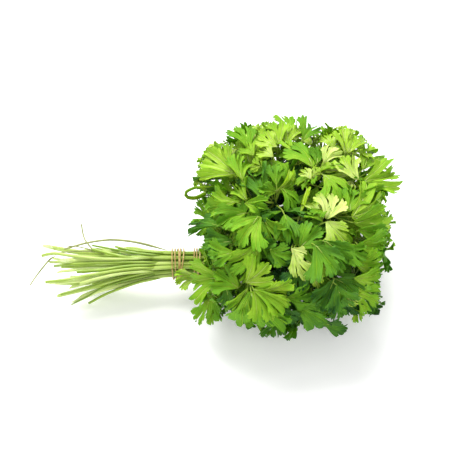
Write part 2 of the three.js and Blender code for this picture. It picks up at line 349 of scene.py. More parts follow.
def plan_leaf(draws, node, heading, outward, lead, side, shrink):
    """A leaf in a drawn pose, rooted in the stalk at `node`. Also says how squarely its sprig meets it."""
    over = square_to(draws.vector(SCATTER) + outward, lead)
    toward = turned(lead, over, side * draws.near(SPRIG_TURN) if side else draws.near(SPRIG_WAVER))
    face, along = posed(draws, toward, outward, SCATTER)
    foot = node + toward * draws.near(SPRIG_LONG) * shrink
    leaf = Leaf(draws, node - heading * SPRIG_ROOT, foot, along, face, draws.near(LEAF_SIZE) * shrink)
    return leaf, abs(face @ toward)


# ---- Placing leaves clear of each other ----

class Room:
    """What takes up room: a leaf's triangles and beads on its rim, and beads along a stalk or sprig."""

    def __init__(self, owner, path, radius, leaf=None):
        self.owner, self.radius = owner, radius
        self.thread = np.array(beads_along(path))
        self.rim = np.zeros((0, 3))
        self.tree = None
        self.dip = 0
        if leaf:
            points, faces, self.dip = leaf.sheet()
            self.tree = BVHTree.FromPolygons(points.tolist(), faces[2:])
            edges = [edge for edge in rim_of(faces) if edge[0] >= 2]
            self.rim = np.array([bead for a, b in edges for bead in beads_along([points[a], points[b]])])
        every = np.vstack([self.rim, self.thread])
        low, high = every.min(0), every.max(0)
        self.middle = (low + high) / 2
        self.reach = np.linalg.norm(high - low) / 2

    def near_sheet(self, beads, apart):
        if not self.tree or not apart:
            return False
        return any(self.tree.find_nearest(bead, apart)[0] is not None for bead in beads)

    def clash(self, other):
        """Whether two rooms come too near each other. On one stem only the leaves must keep apart."""
        sheets = 2 * BLADE_HALF + GAP
        if np.linalg.norm(self.middle - other.middle) > self.reach + other.reach + sheets:
            return False
        kin = self.owner is other.owner
        if self.near_sheet(other.rim, sheets) or other.near_sheet(self.rim, sheets):
            return True
        if kin:
            return False
        if self.near_sheet(other.thread, other.radius + BLADE_HALF + GAP):
            return True
        if other.near_sheet(self.thread, self.radius + BLADE_HALF + GAP):
            return True
        between = self.thread[:, None] - other.thread[None]
        return (between**2).sum(-1).min() < (self.radius + other.radius + GAP) ** 2


def fits(leaf, room):
    """Whether a leaf is inside the head and doesn't dip too far below the surface."""
    inside = in_head(room.rim).max() < 1
    level = abs(leaf.up[2]) > LEVEL
    return inside and (room.dip == 0 or (level and room.dip < DEEPEST_DIP))


def place_leaf(draws, taken, stem, node, lead, side):
    """Tries a leaf in one pose after another, smaller and smaller, and keeps the first that has room."""
    for t in range(TRIES):
        shrink = 1 - SHRINK * t / TRIES
        leaf, steep = plan_leaf(draws, node, stem.heading, stem.outward, lead, side, shrink)
        if steep >= STEEPEST:
            continue
        room = Room(stem, [leaf.root, leaf.foot], math.sqrt(2) * SPRIG_HALF, leaf)
        if fits(leaf, room) and not any(room.clash(other) for other in taken):
            taken.append(room)
            stem.leaves.append(leaf)
            return


def plan_bunch():
    """Every stem with the leaves that found room, and the rooms that they take."""
    draws = Stream(SEED)
    stems = [Stem(k, draws) for k in range(STEMS)]
    taken = [Room(stem, stem.path, STALK_R) for stem in stems]
    for side in (0, -1, 1):
        for stem in stems:
            place_leaf(draws, taken, stem, stem.rise[RISE_STEPS], stem.lead, side)
    for stem in stems[LOW_FROM:]:
        place_leaf(draws, taken, stem, stem.rise[LOW_NODE], stem.outward, 0)
    return stems, taken


# Which places on a stem's rise further sprigs grow from, and what it costs them to start off sideways.
SPRIG_NODES = (2, 3, 4, 5)
SIDEWAYS_COST = 30


def nearest_node(stems, target, outward):
    """The stem and the place on it that a sprig to `target` grows from most naturally."""
    best = None
    for stem in stems:
        for n in SPRIG_NODES:
            way = target - stem.rise[n]
            far = np.linalg.norm(way)
            cost = far + SIDEWAYS_COST * (1 - way @ outward / far)
            if best is None or cost < best[0]:
                best = (cost, stem, n)
    return best[1], best[2]


def crosses(room, other):
    """Whether two rooms' leaves pass through each other."""
    if np.linalg.norm(room.middle - other.middle) > room.reach + other.reach:
        return False
    if not other.tree:
        return False
    return bool(room.tree.overlap(other.tree))


# ---- The eye ----

EYE_DISTANCE = 1200
EYE_TILT = math.radians(50)
EYE_TARGET = np.array([4.8, 5.2, 50])
SEEN_UP = np.array([0, math.sin(EYE_TILT), math.cos(EYE_TILT)])
SEEN_NEAR = np.array([0, -math.cos(EYE_TILT), math.sin(EYE_TILT)])
DEPTH_REACH = 150
DEPTHS = np.arange(-DEPTH_REACH, DEPTH_REACH + 1.0)


def sight(right, up):
    """A place that is seen so far to the right of the eye's target and above it, and the way from it to the
    eye, over the eye's distance."""
    at_target = EYE_TARGET + right * RIGHT + up * SEEN_UP
    return at_target, (EYE_TARGET + EYE_DISTANCE * SEEN_NEAR - at_target) / EYE_DISTANCE


def seen(right, up, out):
    """The nearest place to the eye that is `out` of the way from the head's middle to its surface, and is
    seen so far to the right of the eye's target and above it. Beside the head, the place nearest to it."""
    at_target, ray = sight(right, up)
    places = at_target + DEPTHS[:, None] * ray
    outs = in_head(places)
    inside = np.flatnonzero(outs <= out)
    return places[inside[-1]] if len(inside) else places[outs.argmin()]


# ---- Leaflets that stand out on the side that is seen first ----

# Where a leaflet's foot and tip are seen, in millimetres to the right and up, its shape, its tone, which is
# partly its own colour and partly painted light and shade, and how far it rolls over.
STANDOUTS = (
    # the left edge, from its top down to the neck
    ((18, 63), (12, 83), "broad", 0.44, 0.3), ((22, 58), (13, 71), "slim", 0.36, 0.2),
    ((2, 50), (-9, 69), "slim", 0.3, 0.3), ((7, 43), (-21, 53), "broad", 0.2, -0.2),
    ((13, 38), (6, 61), "slim", 0.4, 0.5), ((8, 20), (-18, 16), "slim", 0.3, 0.2),
    ((17, 21), (5, 40), "slim", 0.4, -0.2), ((15, 19), (32, 17), "slim", 0.42, 0.3),
    ((-5, 0), (-28, 8), "slim", 0.75, 1.1), ((16, 11), (-10, 6), "broad", 0.5, 0.3),
    ((5, -12), (-19, -15), "broad", 0.75, 0.3), ((6, -21), (-15, -26), "broad", 0.5, 0.1),
    # under the neck
    ((-5, -42), (-32, -43), "broad", 0.4, 0.2), ((-24, -42), (-43, -41), "slim", 0.05, 0.3),
    ((10, -50), (-9, -37), "broad", 0.5, 0.0), ((0, -50), (3, -71), "broad", 0.75, 0.1),
    # the low leaves that hang
    ((-12, -57), (-24, -79), "slim", 0.45, 0.0), ((-12, -57), (-7, -76), "slim", 0.5, 0.2),
    ((17, -51), (8, -73), "broad", 0.35, 0.0), ((20, -53), (27, -90), "broad", 0.45, 0.1),
    ((22, -52), (43, -73), "broad", 0.36, 0.1), ((22, -51), (50, -59), "slim", 0.36, -0.2),
    ((29, -53), (53, -49), "slim", 0.2, 0.9), ((40, -66), (58, -79), "slim", 0.85, 0.0),
    ((35, -68), (45, -83), "slim", 0.85, 0.3), ((50, -58), (69, -61), "broad", 0.6, 0.2),
    # the large leaf in front and the pale one turned up below it
    ((28, 8), (6, -12), "broad", 0.42, 0.1), ((29, 4), (20, -24), "broad", 0.42, -0.3),
    ((30, 8), (40, -15), "slim", 0.4, 0.4), ((26, -14), (13, -40), "slim", 0.38, 0.2),
    ((16, -46), (36, -33), "broad", 0.27, -0.1), ((36, -20), (50, -27), "broad", 0.62, 0.2),
    # the middle
    ((31, 21), (24, 56), "slim", 0.68, 0.2), ((32, 22), (38, 53), "long", 0.62, 0.5),
    ((40, 29), (61, 36), "slim", 0.12, 0.9), ((45, 31), (60, 20), "slim", 0.55, 0.2),
    ((59, 4), (68, 33), "slim", 0.22, 1.2), ((69, 39), (64, 50), "broad", 0.05, 0.1),
    ((71, 40), (76, 50), "slim", 0.1, 0.4), ((82, 6), (92, 26), "broad", -0.05, 0.0),
    ((80, 6), (73, 26), "slim", 0.14, 0.5), ((79, 4), (68, 15), "slim", 0.35, 0.6),
    ((82, 4), (97, -11), "slim", 0.07, 0.4), ((60, -17), (78, -1), "broad", 0.5, 0.0),
    ((57, -17), (54, 6), "slim", 0.5, 0.6), ((53, -18), (64, -25), "broad", 0.0, 0.0),
    ((55, -20), (60, -41), "slim", 0.0, 0.3), ((66, -28), (74, -46), "slim", 0.13, 0.4),
    ((72, -15), (92, -37), "broad", 0.72, 0.2), ((80, -12), (102, -27), "broad", 0.6, 0.1),
    # the top
    ((43, 67), (36, 87), "broad", 0.28, 0.2), ((50, 68), (50, 88), "broad", 0.24, 0.0),
    ((55, 70), (62, 88), "slim", 0.16, 0.3), ((63, 71), (71, 87), "broad", 0.5, 0.2),
    ((41, 65), (25, 75), "broad", 0.12, 0.2), ((38, 57), (27, 67), "broad", 0.2, 0.2),
    ((56, 59), (50, 73), "broad", 0.26, 0.4), ((70, 49), (63, 73), "broad", 0.45, 0.4),
    ((74, 51), (76, 68), "slim", 0.6, 0.2), ((80, 52), (86, 68), "broad", 0.02, 0.2),
    ((88, 64), (80, 81), "slim", 0.25, 0.1), ((97, 60), (96, 80), "slim", 0.15, 0.2),
    ((99, 60), (107, 80), "slim", 0.2, 0.0), ((106, 43), (81, 51), "slim", 0.03, 0.5),
    ((108, 38), (92, 57), "broad", 0.1, 0.3), ((100, 12), (105, 34), "slim", 0.45, 0.3),
    # the right edge, from its top down
    ((112, 47), (123, 73), "long", 0.35, 0.0), ((112, 37), (138, 41), "slim", 0.22, 0.1),
    ((110, 28), (129, 26), "broad", 0.36, 0.2), ((103, 8), (135, 17), "broad", 0.2, 0.1),
    ((104, 3), (130, 8), "slim", 0.3, 0.3), ((108, -3), (131, -5), "broad", 0.42, 0.5),
    ((108, -15), (131, -17), "slim", 0.5, 0.3), ((99, -16), (113, -29), "broad", 0.62, 0.2),
    ((106, -30), (127, -33), "broad", 0.36, 0.4), ((104, -42), (128, -45), "slim", 0.36, 0.3),
    ((102, -52), (125, -59), "slim", 0.42, 0.2), ((96, -52), (108, -63), "broad", 0.15, 0.0),
    ((88, -43), (78, -70), "slim", 0.85, 0.0), ((90, -48), (97, -70), "broad", 0.75, 0.2),
    ((103, -62), (113, -74), "slim", 0.36, 0.1), ((98, -59), (104, -75), "slim", 0.9, 0.1),
)
LOOSE_FOLD = (0.3, 0.4)
LOOSE_CURL = (0.2, 0.4)
STANDOUT_SEED = 11
STANDOUT_FOOT = 0.88
STANDOUT_TIP = 0.98
STANDOUT_DEPTH = 0.5
STANDOUT_STEP = 1.2
STANDOUT_TRIES = 8
STANDOUT_SCATTER = 0.4
STANDOUT_OUTWARD = 0.5
HIGHEST_LEAF = 116


def loosen(draws, leaf):
    """Lets a leaf fold, curl and open more freely than the plan's leaves."""
    for leaflet in leaf.leaflets:
        leaflet.fold = draws.near(LOOSE_FOLD)
        leaflet.curl = draws.near(LOOSE_CURL)


class Standout(Leaf):
    """A single leaflet on a sprig of its own, laid between two places."""

    def __init__(self, draws, root, foot, tip, face, roll):
        way = tip - foot
        along = unit(way)
        self.root, self.foot, self.along, self.size = root, foot, along, 0
        self.up = turned(square_to(face, along), along, roll)
        self.across = np.cross(along, self.up)
        self.rib = []
        self.leaflets = [Leaflet(draws, np.linalg.norm(way), 0, 0, (0, 0, 0), END_HALF, (-2, -1))]


def place_standouts(stems, taken):
    """Lays each leaflet that stands out over the plan's leaves, as much nearer to the eye as it has to be."""
    draws = Stream(STANDOUT_SEED)
    made = []
    for foot_seen, tip_seen, shape, tone, roll in STANDOUTS:
        foot = seen(*foot_seen, STANDOUT_FOOT)
        tip = seen(*tip_seen, STANDOUT_TIP)
        deeper = (tip - foot) @ SEEN_NEAR
        most = STANDOUT_DEPTH * math.dist(foot_seen, tip_seen)
        tip -= SEEN_NEAR * (deeper - np.clip(deeper, -most, most))
        outward = way_out(foot)
        stem, n = nearest_node(stems, foot, outward)
        face = SEEN_NEAR + STANDOUT_OUTWARD * outward + draws.vector(STANDOUT_SCATTER)
        nearer = np.zeros(3)
        for _ in range(STANDOUT_TRIES):
            leaf = Standout(draws, stem.rise[n], foot + nearer, tip + nearer, face, roll)
            loosen(draws, leaf)
            room = Room(stem, [leaf.root, leaf.foot], SPRIG_HALF, leaf)
            too_high = room.rim[:, 2].max() - HIGHEST_LEAF
            if too_high > 0:
                nearer -= SEEN_NEAR * too_high / SEEN_NEAR[2]
            elif any(crosses(room, other) for other in taken):
                nearer += SEEN_NEAR * STANDOUT_STEP
            else:
                break
        leaf.shape, leaf.tone = shape, tone
        taken.append(room)
        made.append(room)
        stem.leaves.append(leaf)
    return made


# What the filling leaves stay clear of: around the neck, between the leaves that stick out, and beyond the
# head's uneven outline. Each is its left, right, low and high edge, in millimetres to the right and up.
CLEAR = (
    (-60, -19, -42, 13), (-60, -21, 13, 28), (-14, -2, 27, 39), (-60, -27, 28, 100), (-60, 4, 70, 100),
    (4, 24, 83, 100), (24, 70, 90, 100), (71, 78, 77, 100), (78, 112, 83, 100), (108, 113, 47, 62),
    (112, 150, 75, 100), (118, 150, 46, 57), (134, 150, -30, 46), (130, 150, -66, -30),
    (118, 150, -100, -66), (76, 118, -100, -77), (60, 76, -100, -70), (38, 60, -100, -85),
    (-5, 14, -100, -75), (-60, -28, -100, -52),
)

# The dark hollows of the head, which only its inmost leaves are seen in, written the same way.
HOLLOWS = (
    (36, 50, -48, -31), (37, 50, 35, 49), (37, 57, 0, 20), (72, 81, 28, 38), (41, 56, 55, 66),
    (96, 105, -43, -33), (64, 76, -66, -52), (8, 16, -52, -46), (-10, -3, -33, -28), (97, 105, -12, 5),
)
INMOST = 0.6


def off_limits(room, areas):
    """Whether a leaf is seen in one of the given areas."""
    apart = room.rim - EYE_TARGET
    nearness = 1 - apart @ SEEN_NEAR / EYE_DISTANCE
    right, up = apart @ RIGHT / nearness, apart @ SEEN_UP / nearness
    return any(np.any((right > a) & (right < b) & (up > c) & (up < d)) for a, b, c, d in areas)


# The share of a leaf's rim that may lie in front of a leaflet that stands out.
HIDDEN_LIMIT = 0.1


def hides(room, standouts):
    """Whether a leaf lies between the eye and a leaflet that stands out."""
    for other in standouts:
        apart = room.middle - other.middle
        apart = apart - SEEN_NEAR * (apart @ SEEN_NEAR)
        if np.linalg.norm(apart) > room.reach + other.reach:
            continue
        beads = room.rim[::2]
        struck = sum(other.tree.ray_cast(bead, -SEEN_NEAR)[0] is not None for bead in beads)
        if struck > HIDDEN_LIMIT * len(beads):
            return True
    return False


# ---- Filling the head: finer leaves than the plan's, between and behind them ----

FILL_SEED = 7
FILL_LAYERS = ((0.9, 260), (0.8, 240), (0.65, 150), (0.45, 60), (0.2, 12))
FILL_TRIES = 14
FILL_BACK = 17
FILL_SHORTEST = 7
FILL_JITTER = 9
FILL_SIZE = (0.9, 0.25)
FILL_SHRINK = 0.6
FILL_SCATTER = 0.85
FILL_LOWEST = 6


def spread_over_ball(i, count):
    """Direction i of `count` that are spread evenly."""
    height = 1 - 2 * (i + 0.5) / count
    aside = math.sqrt(1 - height**2)
    turn = i * GOLDEN_ANGLE
    return np.array([height, aside * math.cos(turn), aside * math.sin(turn)])


def fill_leaf(draws, stems, taken, standouts, target, outward, large, areas):
    """Tries a leaf in one pose after another, smaller and smaller, and keeps the first with room."""
    stem, n = nearest_node(stems, target, outward)
    node = stem.rise[n]
    for t in range(FILL_TRIES):
        size = large * draws.near(FILL_SIZE) * (1 - FILL_SHRINK * t / FILL_TRIES)
        way = target + draws.vector(FILL_JITTER * large) - node
        toward = unit(way)
        face, along = posed(draws, toward, outward, FILL_SCATTER)
        long = max(FILL_SHORTEST, np.linalg.norm(way) - FILL_BACK * size)
        foot = node + toward * long
        leaf = Leaf(draws, node - stem.heading * SPRIG_ROOT, foot, along, face, size)
        loosen(draws, leaf)
        room = Room(stem, [leaf.root, leaf.foot], SPRIG_HALF, leaf)
        if not fits(leaf, room) or room.rim[:, 2].max() > HIGHEST_LEAF or off_limits(room, areas):
            continue
        if not any(crosses(room, other) for other in taken) and not hides(room, standouts):
            taken.append(room)
            stem.leaves.append(leaf)
            return True
    return False


def fill_head(stems, taken, standouts):
    draws = Stream(FILL_SEED)
    for depth, count in FILL_LAYERS:
        for i in range(count):
            ball = spread_over_ball(i, count)
            target = HEAD_MIDDLE + ball * HEAD_HALF * depth / bulge(ball)
            if target[2] > FILL_LOWEST:
                areas = CLEAR if depth < INMOST else CLEAR + HOLLOWS
                fill_leaf(draws, stems, taken, standouts, target, unit(ball / HEAD_HALF), 1, areas)
    mend_gaps(draws, stems, taken, standouts)


# Where gaps right through the head are looked for, in millimetres to the right and up, how far out still
# counts as the head, and what mends them: how far out each leaf that is tried stands, and its size.
GAP_STEP = 2
GAP_RIGHT = (-20, 128)
GAP_UP = (-66, 86)
GAP_OUTSIDE = 0.97
GAP_LEAVES = (
    (0.75, 0.75), (0.45, 0.75), (0.85, 0.5), (0.6, 0.5), (0.3, 0.6), (0.7, 0.35), (0.45, 0.35),
)


def mend_gaps(draws, stems, taken, standouts):
    """Puts a smaller leaf wherever the head can be seen through."""
    for right in range(*GAP_RIGHT, GAP_STEP):
        for up in range(*GAP_UP, GAP_STEP):
            if in_head(seen(right, up, GAP_OUTSIDE)) > GAP_OUTSIDE:
                continue
            start = seen(right, up, 1) + SEEN_NEAR * LEAFLET_LONG
            if any(room.tree and room.tree.ray_cast(start, -SEEN_NEAR)[0] is not None for room in taken):
                continue
            for depth, size in GAP_LEAVES:
                target = seen(right, up, depth)
                if fill_leaf(draws, stems, taken, standouts, target, way_out(target), size, CLEAR):
                    break


# ---- Shapes ----

def deselect():
    bpy.ops.object.select_all(action="DESELECT")


def edit():
    """Opens the new primitive for shaping, with nothing of it selected."""
    bpy.ops.object.mode_set(mode="EDIT")
    bpy.ops.mesh.select_mode(type="VERT")
    bpy.ops.mesh.select_all(action="DESELECT")


def pick(places):
    """Selects the points nearest to the given places, and the edges between them."""
    bpy.ops.mesh.select_all(action="DESELECT")
    mesh = bmesh.from_edit_mesh(bpy.context.edit_object.data)
    for place in places:
        near = min(mesh.verts, key=lambda v: (v.co - Vector(place)).length_squared)
        near.select = True
    mesh.select_flush(True)


def push(places, move):
    """Moves the points at the given places, and says where they are now."""
    pick(places)
    bpy.ops.transform.translate(value=move)
    return [tuple(np.add(place, move)) for place in places]


def grow(places, move, wide, turn=0):
    """Extrudes the edges between the given places, makes the new ones `wide` times as wide, turns them
    clockwise, and says where they are."""
    pick(places)
    bpy.ops.mesh.extrude_region_move(TRANSFORM_OT_translate={"value": move})
    centre = np.mean(places, axis=0) + move
    bpy.ops.transform.resize(value=(wide, wide, 1), center_override=tuple(centre))
    bpy.ops.transform.rotate(value=turn, orient_axis="Z", center_override=tuple(centre))
    spread = (np.add(places, move) - centre) * wide
    return [tuple(place) for place in centre + turned(spread, UP, -turn)]


ORDER_DIGITS = 5


class Pattern:
    """A modelled piece taken off the bench, to be copied many times."""

    def __init__(self):
        bpy.ops.object.mode_set(mode="OBJECT")
        piece = bpy.context.object
        mesh = piece.data
        points = np.zeros(3 * len(mesh.vertices), np.float32)
        mesh.vertices.foreach_get("co", points)
        self.points = points.reshape(-1, 3).astype(float)
        self.faces = [tuple(face.vertices) for face in mesh.polygons]
        bpy.data.objects.remove(piece)

    def put_in_order(self):
        """Sorts the points and faces, because extruding a face leaves them in another order on every run."""
        order = np.lexsort(self.points.round(ORDER_DIGITS).T)
        ranks = np.argsort(order)
        self.points = self.points[order]
        self.faces = sorted(tuple(ranks[list(face)].tolist()) for face in self.faces)


# A leaflet's fan: the height of each row, the width of a column there, and how far its sides droop back.
COLUMNS = 10
RAYS = tuple(ray - (COLUMNS - 1) / 2 for ray in range(COLUMNS))
FAN_ROWS = ((0, 0.008, 0), (0.24, 0.041, 0.0034), (0.48, 0.067, 0.0076))

# A lobe's neck and body: the share of its length and of its bend, and how much wider each makes it.
LOBE_ROWS = ((0.5, 1.26, 0.5), (0.5, 1.24, 0.5))

# The two steps of a tooth at a lobe's end, and the single step of one on its side.
TOOTH_ROWS = ((0.5, 0.98), (0.5, 0.5))
END_TEETH = ((0, -0.34, 0.85), (1, 0, 1.1), (2, 0.34, 0.85))
SIDE_TOOTH = (0.75, 0.55)
SIDE_LEAN = 0.85
CHANNEL = 0.04
TOOTH_DIP = 0.02


def fan_point(row, i, spread):
    """Point i of a row of the fan. The two inner points of each lobe's columns lie in a channel."""
    height, wide, droop = FAN_ROWS[row]
    ray = RAYS[i]
    return (ray * wide * spread, height - droop * ray**2, -CHANNEL * row / 2 if i % 3 else 0)


def ahead(angle, length):
    """A move of a given length, at an angle from the leaflet's own direction."""
    return (length * math.sin(angle), length * math.cos(angle), 0)


def model_lobe(base, angle, long, tooth, bend, toothed):
    """Grows one lobe from four points of the fan: a neck, a body, and blunt teeth on its end and sides."""
    for share, wide, part in LOBE_ROWS:
        before = base
        base = grow(base, ahead(angle, share * long), wide, part * bend)
        base[1:3] = push(base[1:3], (0, 0, -CHANNEL))
    long, wide = SIDE_TOOTH
    for side in toothed:
        end = 0 if side < 0 else 3
        grow([before[end], base[end]], ahead(angle + side * SIDE_LEAN, long * tooth), wide)
    for i, lean, size in END_TEETH:
        edge = base[i : i + 2]
        for share, wide in TOOTH_ROWS:
            edge = grow(edge, ahead(angle + lean, share * size * tooth), wide)
        push(edge, (0, 0, -TOOTH_DIP))


def model_leaflet(spread, lobe_angle, lobe_long, lobe_bend, crown_long, tooth):
    """A leaflet of three lobes on a wedge, one unit long, flat but for its veins' channels."""
    deselect()
    bpy.ops.mesh.primitive_grid_add(x_subdivisions=len(RAYS) - 1, y_subdivisions=len(FAN_ROWS) - 1, size=1)
    edit()
    for row in (2, 1, 0):
        for i in range(len(RAYS)):
            start = (i / (len(RAYS) - 1) - 0.5, (row - 1) / 2, 0)
            push([start], np.subtract(fan_point(row, i, spread), start))
    left, crown, right = ([fan_point(2, i, spread) for i in range(first, first + 4)] for first in (0, 3, 6))
    model_lobe(right, lobe_angle, lobe_long, tooth, lobe_bend, (1,))
    model_lobe(left, -lobe_angle, lobe_long, tooth, -lobe_bend, (-1,))
    model_lobe(crown, 0, crown_long, tooth, 0, (-1, 1))
    bpy.ops.mesh.select_all(action="SELECT")
    bpy.ops.mesh.normals_make_consistent(inside=False)
    bpy.ops.mesh.flip_normals()
    leaflet = Pattern()
    leaflet.spread = spread
    return leaflet


# How far inside a tube's edge the ring on its end is, in radii.
TUBE_CAP = 0.3


def model_tube(sides, steps, rib):
    """A closed tube one unit long and one in radius, with every other edge of it drawn in to leave ribs."""
    deselect()
    bpy.ops.mesh.primitive_circle_add(vertices=sides, radius=1, fill_type="NGON")
    edit()
    bpy.ops.mesh.select_all(action="SELECT")
    for _ in range(steps):
        bpy.ops.mesh.extrude_region_move(TRANSFORM_OT_translate={"value": (0, 0, 1 / steps)})
    bpy.ops.mesh.inset(thickness=TUBE_CAP, depth=0)
    mesh = bmesh.from_edit_mesh(bpy.context.edit_object.data)
    bpy.ops.mesh.select_all(action="DESELECT")
    for point in mesh.verts:
        turn = math.atan2(point.co.y, point.co.x) * sides / (2 * math.pi)
        point.select = round(turn) % 2 == 1
    mesh.select_flush(True)
    bpy.ops.transform.resize(value=(rib, rib, 1), center_override=(0, 0, 0))
    bpy.ops.mesh.select_all(action="SELECT")
    bpy.ops.mesh.normals_make_consistent(inside=False)
    tube = Pattern()
    tube.put_in_order()
    return tube


def smooth_path(points, shares):
    """Points on a smooth curve through the given ones, at the given shares of its length from 0 to 1."""
    points = np.asarray(points, float)
    ends = np.vstack([2 * points[0] - points[1], points, 2 * points[-1] - points[-2]])
    lengths = np.linalg.norm(np.diff(points, axis=0), axis=1)
    marks = np.concatenate([[0], np.cumsum(lengths)]) / lengths.sum()
    made = []
    for share in shares:
        i = min(np.searchsorted(marks, share, side="right") - 1, len(points) - 2)
        t = (share - marks[i]) / (marks[i + 1] - marks[i])
        a, b, c, d = ends[i : i + 4]
        made.append(0.5 * (2 * b + (c - a) * t + (2 * a - 5 * b + 4 * c - d) * t**2
                           + (3 * b - a - 3 * c + d) * t**3))
    return np.array(made)


NEARLY_UPRIGHT = 0.9


def swept(pattern, path, radii):
    """A straight tube's points laid along a path of as many rings, with a radius for each ring."""
    steps = len(path) - 1
    ring = np.rint(pattern.points[:, 2] * steps).astype(int)
    ways = np.gradient(path, axis=0)
    side = square_to(UP if abs(unit(ways[0])[2]) < NEARLY_UPRIGHT else RIGHT, unit(ways[0]))
    frames = []
    for way in ways:
        side = square_to(side, unit(way))
        frames.append((side, np.cross(unit(way), side)))
    frames = np.array(frames)[ring]
    across = pattern.points[:, :2] * np.asarray(radii)[ring][:, None]
    return path[ring] + across[:, :1] * frames[:, 0] + across[:, 1:] * frames[:, 1]


class Heap:
    """Copies of patterns on their way to becoming one mesh. Each point also gets a lay, its place in the
    pattern, and a tone from 0, young, to 1, aged. On leaves the tone also holds painted light and shade."""

    def __init__(self):
        self.points, self.lays, self.tones, self.faces, self.finishes = [], [], [], [], []
        self.count = 0

    def add(self, pattern, points, lay, tone, finishes):
        self.points.append(points)
        self.lays.append(lay)
        self.tones.append(np.broadcast_to(tone, len(points)))
        self.faces += [tuple(self.count + i for i in face) for face in pattern.faces]
        self.finishes += finishes
        self.count += len(points)

    def build(self, name, materials):
        mesh = bpy.data.meshes.new(name)
        mesh.from_pydata(np.vstack(self.points) * MM, [], self.faces)
        mesh.polygons.foreach_set("material_index", self.finishes)
        lay = mesh.attributes.new("lay", "FLOAT_VECTOR", "POINT")
        lay.data.foreach_set("vector", np.vstack(self.lays).ravel())
        tone = mesh.attributes.new("tone", "FLOAT", "POINT")
        tone.data.foreach_set("value", np.concatenate(self.tones))
        for material in materials:
            mesh.materials.append(material)
        piece = bpy.data.objects.new(name, mesh)
        bpy.context.scene.collection.objects.link(piece)
        return piece


# ---- Finishes ----

# Where clouds and streaks run from one end of their range to the other, and how fine the clouds' detail is.
CLOUD_SPAN = (0.3, 0.7)
CLOUD_DETAIL = 3.0

# A leaflet's veins on its lay, in leaflet lengths: where a vein starts to fade and is gone, the foot of the
# fan of fine ones, how many there are to a radian, how much and how fast they waver, and how deep they lie.
MIDRIB_EDGE = (0.004, 0.018)
LOBE_VEIN_EDGE = (0.003, 0.015)
FINE_VEIN_EDGE = (0.0, 0.16)
VEIN_FAN_FOOT = 0.06
VEINS_IN_FAN = 9.0
VEIN_WAVER = 0.6
VEIN_WAVERS = 5.0
VEIN_LAY = {"Lobe Angle": 0.53, "Lobe Foot": 0.02}
VEIN_RELIEF = (0.0006, 1.0)

# A blade: the tones that its colours stand for, how many clouds there are to a metre and how much they change
# its tone, how much older its edge looks than its foot, how much paler its veins are and how much of that its
# fine ones show, how rough its two sides are, and how much light of each colour goes into it and how far.
TONE_STOPS = (0.0, 0.2, 0.5, 0.8, 1.0)
BLADE_CLOUDS = 75.0
BLADE_MOTTLE = 0.12
DARKER_OUT = 0.14
PALER_VEINS = 0.24
FINE_SHOWN = 0.5
UPPER_ROUGHNESS = 0.36
UNDER_ROUGHNESS = 0.6
ROUGHNESS_SPREAD = 0.08
BLADE_SHINE = 0.12
TISSUE_LIGHT = 0.2
BLADE_LIGHT = (0.6, 1.0, 0.1), 0.0012

# A stalk's skin: its clouds, where along its tones it has its middle colour, and its streaks, which are long
# and thin on its lay.
STALK_CLOUDS = 60.0
STALK_MOTTLE = 0.08
STALK_MIDDLE = 0.45
STALK_ROUGHNESS = (0.32, 0.48)
STALK_LIGHT = (0.8, 1.0, 0.3), 0.0015
STREAK_STRETCH = (2.2, 2.2, 5.0)
STREAK_SCALE = 1.6
STREAK_DETAIL = 4.0
STREAK_DEPTH = 1.3
STREAK_RELIEF = (0.0003, 0.4)

# Surfaces of two colours: how many clouds there are to a metre, and how rough the light and dark parts are.
PITH_CLOUDS = (900.0, 0.4, 0.6)
DRY_CLOUDS = (120.0, 0.6, 0.8)
RUBBER_CLOUDS = (400.0, 0.5, 0.7)
RUBBER_RELIEF = (0.0002, 0.3)


class Nodes:
    """A node tree that is written from left to right."""

    def __init__(self, tree):
        self.tree = tree

    def add(self, kind, values=None, **settings):
        node = self.tree.nodes.new(kind)
        for key, value in settings.items():
            setattr(node, key, value)
        for key, value in (values or {}).items():
            if isinstance(value, bpy.types.NodeSocket):
                self.tree.links.new(value, node.inputs[key])
            else:
                node.inputs[key].default_value = value
        return node

    def math(self, operation, *values):
        node = self.add("ShaderNodeMath", dict(enumerate(values)), operation=operation)
        return node.outputs[0]

    def noise(self, place, scale, detail):
        node = self.add("ShaderNodeTexNoise", {"Vector": place, "Scale": scale, "Detail": detail})
        return node.outputs["Fac"]

    def attribute(self, name):
        return self.add("ShaderNodeAttribute", attribute_name=name)

    def mix(self, share, a, b):
        node = self.add("ShaderNodeMix", {"Factor": share}, data_type="RGBA")
        for socket, value in (("A_Color", a), ("B_Color", b)):
            target = next(s for s in node.inputs if s.identifier == socket)
            if isinstance(value, bpy.types.NodeSocket):
                self.tree.links.new(value, target)
            else:
                target.default_value = (*value, 1)
        return next(s for s in node.outputs if s.identifier == "Result_Color")

    def span(self, value, low, high, start, end):
        node = self.add("ShaderNodeMapRange", {
            "Value": value, "From Min": low, "From Max": high, "To Min": start, "To Max": end})
        return node.outputs[0]


def new_group(name, inputs, outputs):
    """An empty node group with numbers for its inputs and outputs."""
    group = bpy.data.node_groups.new(name, "ShaderNodeTree")
    for socket in inputs:
        group.interface.new_socket(name=socket, in_out="INPUT", socket_type="NodeSocketFloat")
    for socket in outputs:
        group.interface.new_socket(name=socket, in_out="OUTPUT", socket_type="NodeSocketFloat")
    nodes = Nodes(group)
    return group, nodes, nodes.add("NodeGroupInput").outputs, nodes.add("NodeGroupOutput").inputs


def join(nodes, value, socket):
    nodes.tree.links.new(value, socket)


